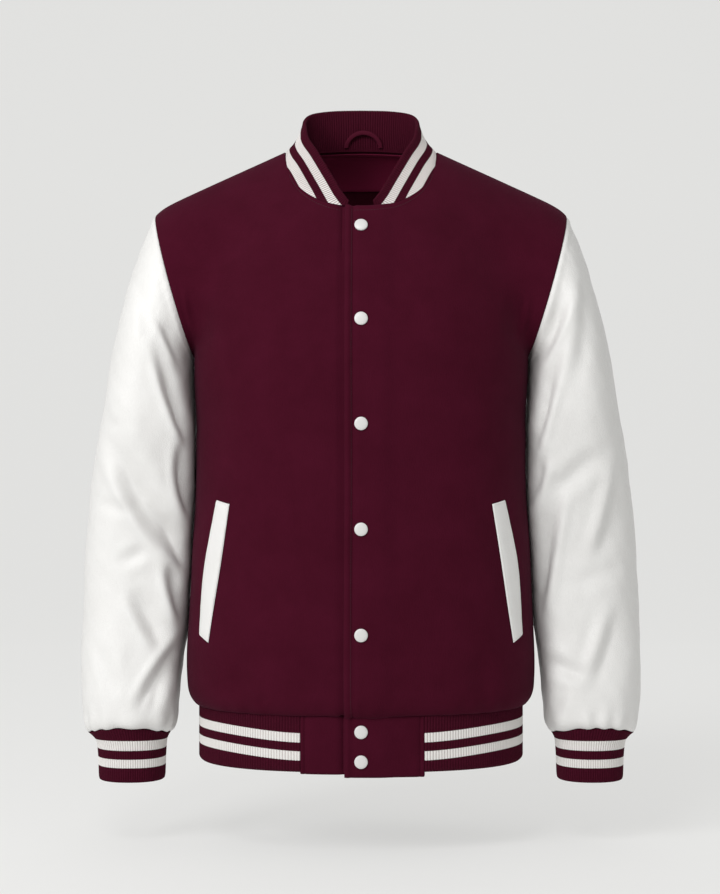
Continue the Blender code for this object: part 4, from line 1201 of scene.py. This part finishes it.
def makeCollar():
    # outer face up to the folded edge, and down again inside
    count = collar["ribs"] * knit["columnsPerRib"]
    coarse = np.linspace(0, 2, collar["samples"])
    edgeLine, _ = collarFace(coarse, np.full(coarse.shape, 0.5))
    run = runLength(edgeLine[:, None, :], 0)[:, 0]
    along = np.interp(np.linspace(0, run[-1], count + 1), run, coarse)
    phase = np.linspace(0, collar["ribs"], count + 1)[None, :]
    down = np.concatenate([collar["foot"], np.linspace(*collar["faceRows"]), [0.0]])
    base, tall = collarFace(*np.broadcast_arrays(along[None, :], down[:, None]))
    outward = turnedOut(gridNormals(base), base - base.mean(axis=(0, 1)))
    lift = ribbed(phase) * knit["height"] * smoothStep(0.0, 0.004, (1 - down[:, None]) * tall)
    upward = unit(base[-1] - base[-2])
    thinning = smoothStep(collar["thinTo"], collar["thinFrom"], tall[-1])
    wall = collar["wall"] * (collar["thinnest"] + (1 - collar["thinnest"]) * thinning)
    half = wall[:, None] / 2
    rowsOut = base + outward * lift[..., None]
    rowsIn = base - outward * (wall[None, :] + lift)[..., None]
    rim = []
    for angle in (30, 60, 90, 120, 150):
        turnOut, turnUp = math.cos(math.radians(angle)), math.sin(math.radians(angle))
        swell = half + ribbed(phase[0])[:, None] * knit["height"] * 0.8
        rim.append(base[-1] - outward[-1] * half + outward[-1] * swell * turnOut + upward * swell * turnUp)
    sheet = np.concatenate([rowsOut, np.array(rim), rowsIn[::-1]])
    local = down[:, None] * tall[-1:]
    v = np.concatenate([local, np.full((5, count + 1), -0.001), -0.002 - local[::-1]])
    u = np.broadcast_to(phase * knit["pitch"], v.shape)
    rows, columns = sheet.shape[:2]
    index = np.arange(rows * columns).reshape(rows, columns)
    # the sheet is a closed tube: its last row joins its first under the foot
    after = np.roll(index, -1, axis=0)
    quads = np.stack([index[:, :-1], index[:, 1:], after[:, 1:], after[:, :-1]], axis=-1)
    faces = quads.reshape(-1, 4).tolist() + [index[:, 0].tolist(), index[:, -1].tolist()]
    # the faces under the foot and at the two ends take no stripe
    plainFaces = columns - 1 + 2
    uv = np.stack([u, v], axis=-1).reshape(-1, 2)
    piece = makePiece("collarRib", sheet.reshape(-1, 3), faces, uv, collarKnit, plainFaces=plainFaces)
    settle(piece, "collar")


makeCollar()
print("rib knit made")


welts = {
    "gap": 0.0006, "wall": 0.0016, "stitchFromEdge": 0.0024, "stitch": (0.0030, 0.0023, 0.00026),
    "edge": (0.0022, 0.0013), "deepestEdge": 0.0015, "groove": (0.0004, 0.0007),
    "puff": 0.0005, "puffFade": 0.008, "wander": (0.00012, 0.006),
    # front edge x and z, side edge x and z, from the top end to the bottom
    "rows": [
        (0.1420, -0.397, 0.1570, -0.3930),
        (0.1535, -0.470, 0.1715, -0.4670),
        (0.1660, -0.549, 0.1765, -0.5415),
    ],
}


def levelOf(z):
    samples = np.linspace(0, chest, 2000)
    return np.interp(z, spline(body["sections"], samples)[:, 0], samples)


def turnOf(x, z):
    turns = np.linspace(0, 90, 1200)
    level = levelOf(z)
    rings = [bodyRing(turns, np.full(turns.shape, each))[:, 0] for each in level]
    return np.array([np.interp(each, xs, turns) for each, xs in zip(x, rings)])


def makeWelts():
    places = np.linspace(0, 2, 150)
    frontX, frontZ, sideX, sideZ = np.moveaxis(spline(welts["rows"], places), -1, 0)
    shares = np.linspace(0, 1, 25)[None, :]
    turn = mixed(turnOf(frontX, frontZ)[:, None], turnOf(sideX, sideZ)[:, None], shares)
    z = mixed(frontZ[:, None], sideZ[:, None], shares)
    base = bodyRing(turn, levelOf(z))
    outward = turnedOut(gridNormals(base), np.array([0.0, -1.0, 0.0]))
    fromFront, fromTop = runLength(base, 1), runLength(base, 0)
    fromSide, fromBottom = fromFront[:, -1:] - fromFront, fromTop[-1:] - fromTop
    nearest = np.minimum.reduce([fromFront, fromSide, fromTop, fromBottom])
    for side, name in ((1, "Left"), (-1, "Right")):
        seen = mirroredGrid(base, side)
        depth = woolWander(seen, "front", side)
        height = welts["gap"] + welts["wall"] - depth
        trim = sum(roundedEdge(away, *welts["edge"]) for away in (fromFront, fromSide, fromTop, fromBottom))
        trim = np.minimum(trim, welts["deepestEdge"])
        trim = trim + stitchGroove(nearest, welts["stitchFromEdge"], *welts["groove"])
        wander, wanderSize = welts["wander"]
        puff = welts["puff"] * smoothStep(0.0, welts["puffFade"], nearest)
        puff = puff + wander * ripple(seen, wanderSize, side)
        outer = seen + mirroredGrid(outward * (height - trim + puff)[..., None], side)
        inner = seen + mirroredGrid(outward * (welts["gap"] - depth)[..., None], side)
        uv = np.stack([fromFront, fromTop], axis=-1)
        piece = shell("pocketWelt" + name, outer, inner, uv, leather)
        settle(piece, "pocket_welt_" + name.lower())
        # stitches along both long edges, then across both ends
        keep, cut = welts["stitchFromEdge"], slice(3, -3)
        facing = mirroredGrid(outward, side)
        lines = [lineAt(outer, fromFront, keep), lineAt(outer[:, ::-1], runLength(outer[:, ::-1], 1), keep)]
        runs = [stitchRun(line[cut], facing[cut, 3], *welts["stitch"]) for line in lines]
        for end in (outer.transpose(1, 0, 2), outer[::-1].transpose(1, 0, 2)):
            line = lineAt(end, runLength(end, 1), keep)
            runs.append(stitchRun(line[cut], facing[2, cut], *welts["stitch"]))
        stitchPiece("weltStitches" + name, runs, whiteThread)


makeWelts()
print("welts made")


snaps = {
    "heights": (-0.095, -0.198, -0.310, -0.423, -0.536, -0.641, -0.673),
    "radius": 0.0072, "rim": 0.0016, "sides": 48, "bevel": 0.00028, "backInset": 0.0006,
    # width and rise of each ring from the rim to the middle
    "dome": ((0.0007, 0.00050), (0.0011, 0.00040), (0.0018, 0.00028), (0.0021, 0.00014)),
}


def selectFaces(piece, test):
    work = bmesh.from_edit_mesh(piece.data)
    for face in work.faces:
        face.select_set(test(face))
    bmesh.update_edit_mesh(piece.data)


def modelSnap():
    bpy.ops.object.select_all(action="DESELECT")
    middle = (0, 0, snaps["rim"] / 2)
    bpy.ops.mesh.primitive_cylinder_add(
        vertices=snaps["sides"], radius=snaps["radius"], depth=snaps["rim"], location=middle
    )
    piece = bpy.context.object
    bpy.ops.object.transform_apply(location=True, rotation=True, scale=True)
    bpy.ops.object.mode_set(mode="EDIT")
    bpy.ops.mesh.select_mode(type="FACE")
    bpy.ops.mesh.select_all(action="DESELECT")
    selectFaces(piece, lambda face: face.normal.z > 0.9)
    for width, rise in snaps["dome"]:
        bpy.ops.mesh.inset(thickness=width, depth=rise)
    bpy.ops.mesh.select_all(action="DESELECT")
    selectFaces(piece, lambda face: face.normal.z < -0.9)
    bpy.ops.mesh.inset(thickness=snaps["backInset"], depth=0.0)
    bpy.ops.object.mode_set(mode="OBJECT")
    bevel = piece.modifiers.new("edge", "BEVEL")
    bevel.width, bevel.segments = snaps["bevel"], 3
    bevel.limit_method, bevel.angle_limit = "ANGLE", math.radians(40)
    bpy.ops.object.modifier_apply(modifier=bevel.name)
    bpy.ops.object.shade_smooth_by_angle(angle=math.radians(35))
    piece.data.materials.append(enamel)
    return piece


def snapPlace(z):
    # outer face of the upper front on the centre line
    if z > hem["top"]:
        samples = np.linspace(0, chest + 1.0, 1500)
        line = panel(True, np.zeros(samples.shape), samples)
        index = int(np.argmin(np.abs(line[:, 2] - z)))
        along = line[index + 4] - line[index - 4]
        point = line[index]
        sunk = float(woolWander(line[index:index + 1], "front", 1)[0])
    else:
        points, _ = hemSurface(np.array([0.0]), np.array([z]), hem["tabEnd"]["left"])
        point, along, sunk = points[0], np.array([0.0, 0.0, 1.0]), 0.0
    axis = np.array([0.0, -along[2], along[1]]) / math.hypot(along[1], along[2])
    return Vector(point + axis * (body["lapLift"] - sunk)), Vector(axis)


def makeSnaps():
    first = modelSnap()
    for number, z in enumerate(snaps["heights"], start=1):
        piece = first.copy()
        piece.data = first.data.copy()
        piece.name = f"snapCap{number}"
        bpy.context.collection.objects.link(piece)
        point, axis = snapPlace(z)
        turned = axis.to_track_quat("Z", "Y").to_matrix().to_4x4()
        piece.data.transform(Matrix.Translation(point) @ turned)
        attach(piece, "root")
        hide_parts(f"snap_{number}")
    bpy.data.objects.remove(first)


makeSnaps()
print("snaps made")


neckInside = {
    "gap": 0.0006, "wall": 0.0010, "edge": (0.0012, 0.0005),
    # from the neck seam down to the top and bottom of each band, and its rows
    "tape": (0.0014, 0.0078, 7), "facing": (0.0060, 0.0620, 24), "tapeLift": 1.6,
    "loopMiddleX": 0.003, "loopHalfWidth": 0.0205, "loopFoot": 0.0035, "loopRise": 0.0175,
    "loopBand": 0.0050, "loopWall": 0.0020, "loopThinEdge": 0.35, "loopStandoff": 0.0035, "loopSteps": 44,
    "collarHeight": 0.05, "collarGap": 0.0004,
}


def makeNeckBand(name, nodeName, rows, lift, cloth):
    # a strip that follows the inner face of the back, down from the neck seam
    inside = np.abs(backAcross) <= body["neckShare"] - 0.004
    columns = backInner[::-1][:, inside]
    inward = -backOutward[::-1][:, inside]
    run = runLength(columns, 0)
    places = np.linspace(*rows)
    count = columns.shape[1]
    points = np.stack([atPlaces(places, run[:, c], columns[:, c]) for c in range(count)], axis=1)
    way = unit(np.stack([atPlaces(places, run[:, c], inward[:, c]) for c in range(count)], axis=1))
    away = runLength(points, 0)
    edge = roundedEdge(away, *neckInside["edge"]) + roundedEdge(away[-1:] - away, *neckInside["edge"])
    near = points + way * (lift + neckInside["wall"] - edge)[..., None]
    uv = np.stack([runLength(points, 1), away], axis=-1)
    piece = shell(name, points + way * lift, near, uv, cloth)
    settle(piece, nodeName)


def makeNeckInside():
    # the tape lies over the facing's upper edge
    gap, tape, facing = neckInside["gap"], neckInside["tape"], neckInside["facing"]
    over = gap * neckInside["tapeLift"]
    makeNeckBand("neckTape", "neck_tape", tape, over, tapeCloth)
    # the facing wears the lining, painted brighter as painted light inside the neck
    makeNeckBand("neckFacing", "back_neck_facing", facing, gap, liningPaintedLightCloth)


def collarInside(x, height):
    # a place on the collar's inner face near the centre back, and the normal out of the neck there
    along = np.linspace(0.6, 1.4, 400)
    down = 1 - height / neckInside["collarHeight"]
    face, _ = collarFace(along, np.full(along.shape, down))
    place = np.interp(x, face[:, 0], along)
    beside, _ = collarFace(np.array([place - 0.01, place, place + 0.01]), np.full(3, down))
    above, _ = collarFace(np.array([place]), np.array([down - 0.05]))
    normal = np.cross(beside[2] - beside[0], above[0] - beside[1])
    normal = normal / np.linalg.norm(normal)
    if normal[1] < 0:
        normal = -normal
    return beside[1] - normal * (collar["wall"] + neckInside["collarGap"]), normal


def makeHangerLoop():
    # a half ring of tape on the collar, thick in the middle of its band and thin at the edges
    steps, thin = neckInside["loopSteps"], neckInside["loopThinEdge"]
    outer, inner = [], []
    for index in range(steps + 1):
        angle = math.pi * index / steps
        outRow, inRow = [], []
        for share in np.linspace(-1, 1, 9):
            band = neckInside["loopBand"] / 2 * share
            x = neckInside["loopMiddleX"] - (neckInside["loopHalfWidth"] + band) * math.cos(angle)
            height = neckInside["loopFoot"] + (neckInside["loopRise"] + band) * math.sin(angle)
            point, normal = collarInside(x, height)
            lift = neckInside["gap"] + neckInside["loopStandoff"] * math.sin(angle)
            half = neckInside["loopWall"] / 2 * (thin + (1 - thin) * math.sqrt(1 - share ** 2))
            middle = point - normal * (lift + neckInside["loopWall"] / 2)
            outRow.append(middle + normal * half)
            inRow.append(middle - normal * half)
        outer.append(outRow)
        inner.append(inRow)
    outer, inner = np.array(outer), np.array(inner)
    uv = np.stack([runLength(outer, 1), runLength(outer, 0)], axis=-1)
    piece = shell("hangerLoop", outer, inner, uv, loopCloth)
    settle(piece, "hanger_loop")


makeNeckInside()
makeHangerLoop()
print("neck inside made")


stage = {
    "floorZ": -0.780, "frontY": -4.0, "wallY": 3.4, "wallTop": 4.5, "halfWidth": 4.0,
    "bend": 1.2, "bendSteps": 16,
    "colour": (0.29, 0.29, 0.287), "skyColour": (1.0, 1.0, 0.985, 1.0), "skyStrength": 0.50,
    # the paper glows, so shadows on it stay faint
    "sockets": {"Roughness": 0.95, "Emission Color": (1.0, 1.0, 0.985, 1.0), "Emission Strength": 0.538},
}


def makeStage():
    bend, halfWidth = stage["bend"], stage["halfWidth"]
    path = [(stage["frontY"], 0.0)]
    for index in range(stage["bendSteps"] + 1):
        angle = math.radians(90 * index / stage["bendSteps"])
        path.append((stage["wallY"] - bend + bend * math.sin(angle), bend * (1 - math.cos(angle))))
    path.append((stage["wallY"], stage["wallTop"]))
    points = np.array([(x, y, stage["floorZ"] + z) for y, z in path for x in (-halfWidth, halfWidth)])
    faces = [[2 * i, 2 * i + 1, 2 * i + 3, 2 * i + 2] for i in range(len(path) - 1)]
    material, tree, shader = newMaterial("paperBackdrop", stage)
    mist = noise(tree, objectPlace(tree), 60, 3.0)
    tree.links.new(bumped(tree, mist, 0.0005, 0.1), shader.inputs["Normal"])
    data = bpy.data.meshes.new("backdrop")
    data.from_pydata(points.tolist(), [], faces)
    data.shade_smooth()
    data.materials.append(material)
    backdrop = bpy.data.objects.new("backdrop", data)
    bpy.context.collection.objects.link(backdrop)


def areaLight(name, place, target, size, power):
    data = bpy.data.lights.new(name, "AREA")
    data.shape, data.size, data.energy = "DISK", size, power
    lamp = bpy.data.objects.new(name, data)
    bpy.context.collection.objects.link(lamp)
    aim = (Vector(target) - Vector(place)).to_track_quat("-Z", "Y").to_matrix().to_4x4()
    lamp.matrix_world = Matrix.Translation(Vector(place)) @ aim


makeStage()
areaLight("keyLight", (-2.0, -2.1, 1.0), (0.0, 0.0, -0.35), 1.2, 43)
areaLight("highLight", (-0.5, -1.7, 1.3), (0.0, 0.0, -0.25), 0.8, 14)

world = bpy.data.worlds.new("studio")
world.use_nodes = True
sky = world.node_tree.nodes["Background"]
sky.inputs["Color"].default_value = stage["skyColour"]
sky.inputs["Strength"].default_value = stage["skyStrength"]
bpy.context.scene.world = world
bpy.context.scene.view_settings.view_transform = "Standard"

view = {"place": (-0.0011, -2.3, -0.335), "lens": 81.5, "sensor": 36.0}
cameraData = bpy.data.cameras.new("camera")
cameraData.sensor_width = view["sensor"]
cameraData.lens = view["lens"]
camera = bpy.data.objects.new("camera", cameraData)
camera.matrix_world = Matrix.Translation(view["place"]) @ Matrix.Rotation(math.radians(90), 4, "X")
bpy.context.collection.objects.link(camera)
bpy.context.scene.camera = camera

print("scene ready")
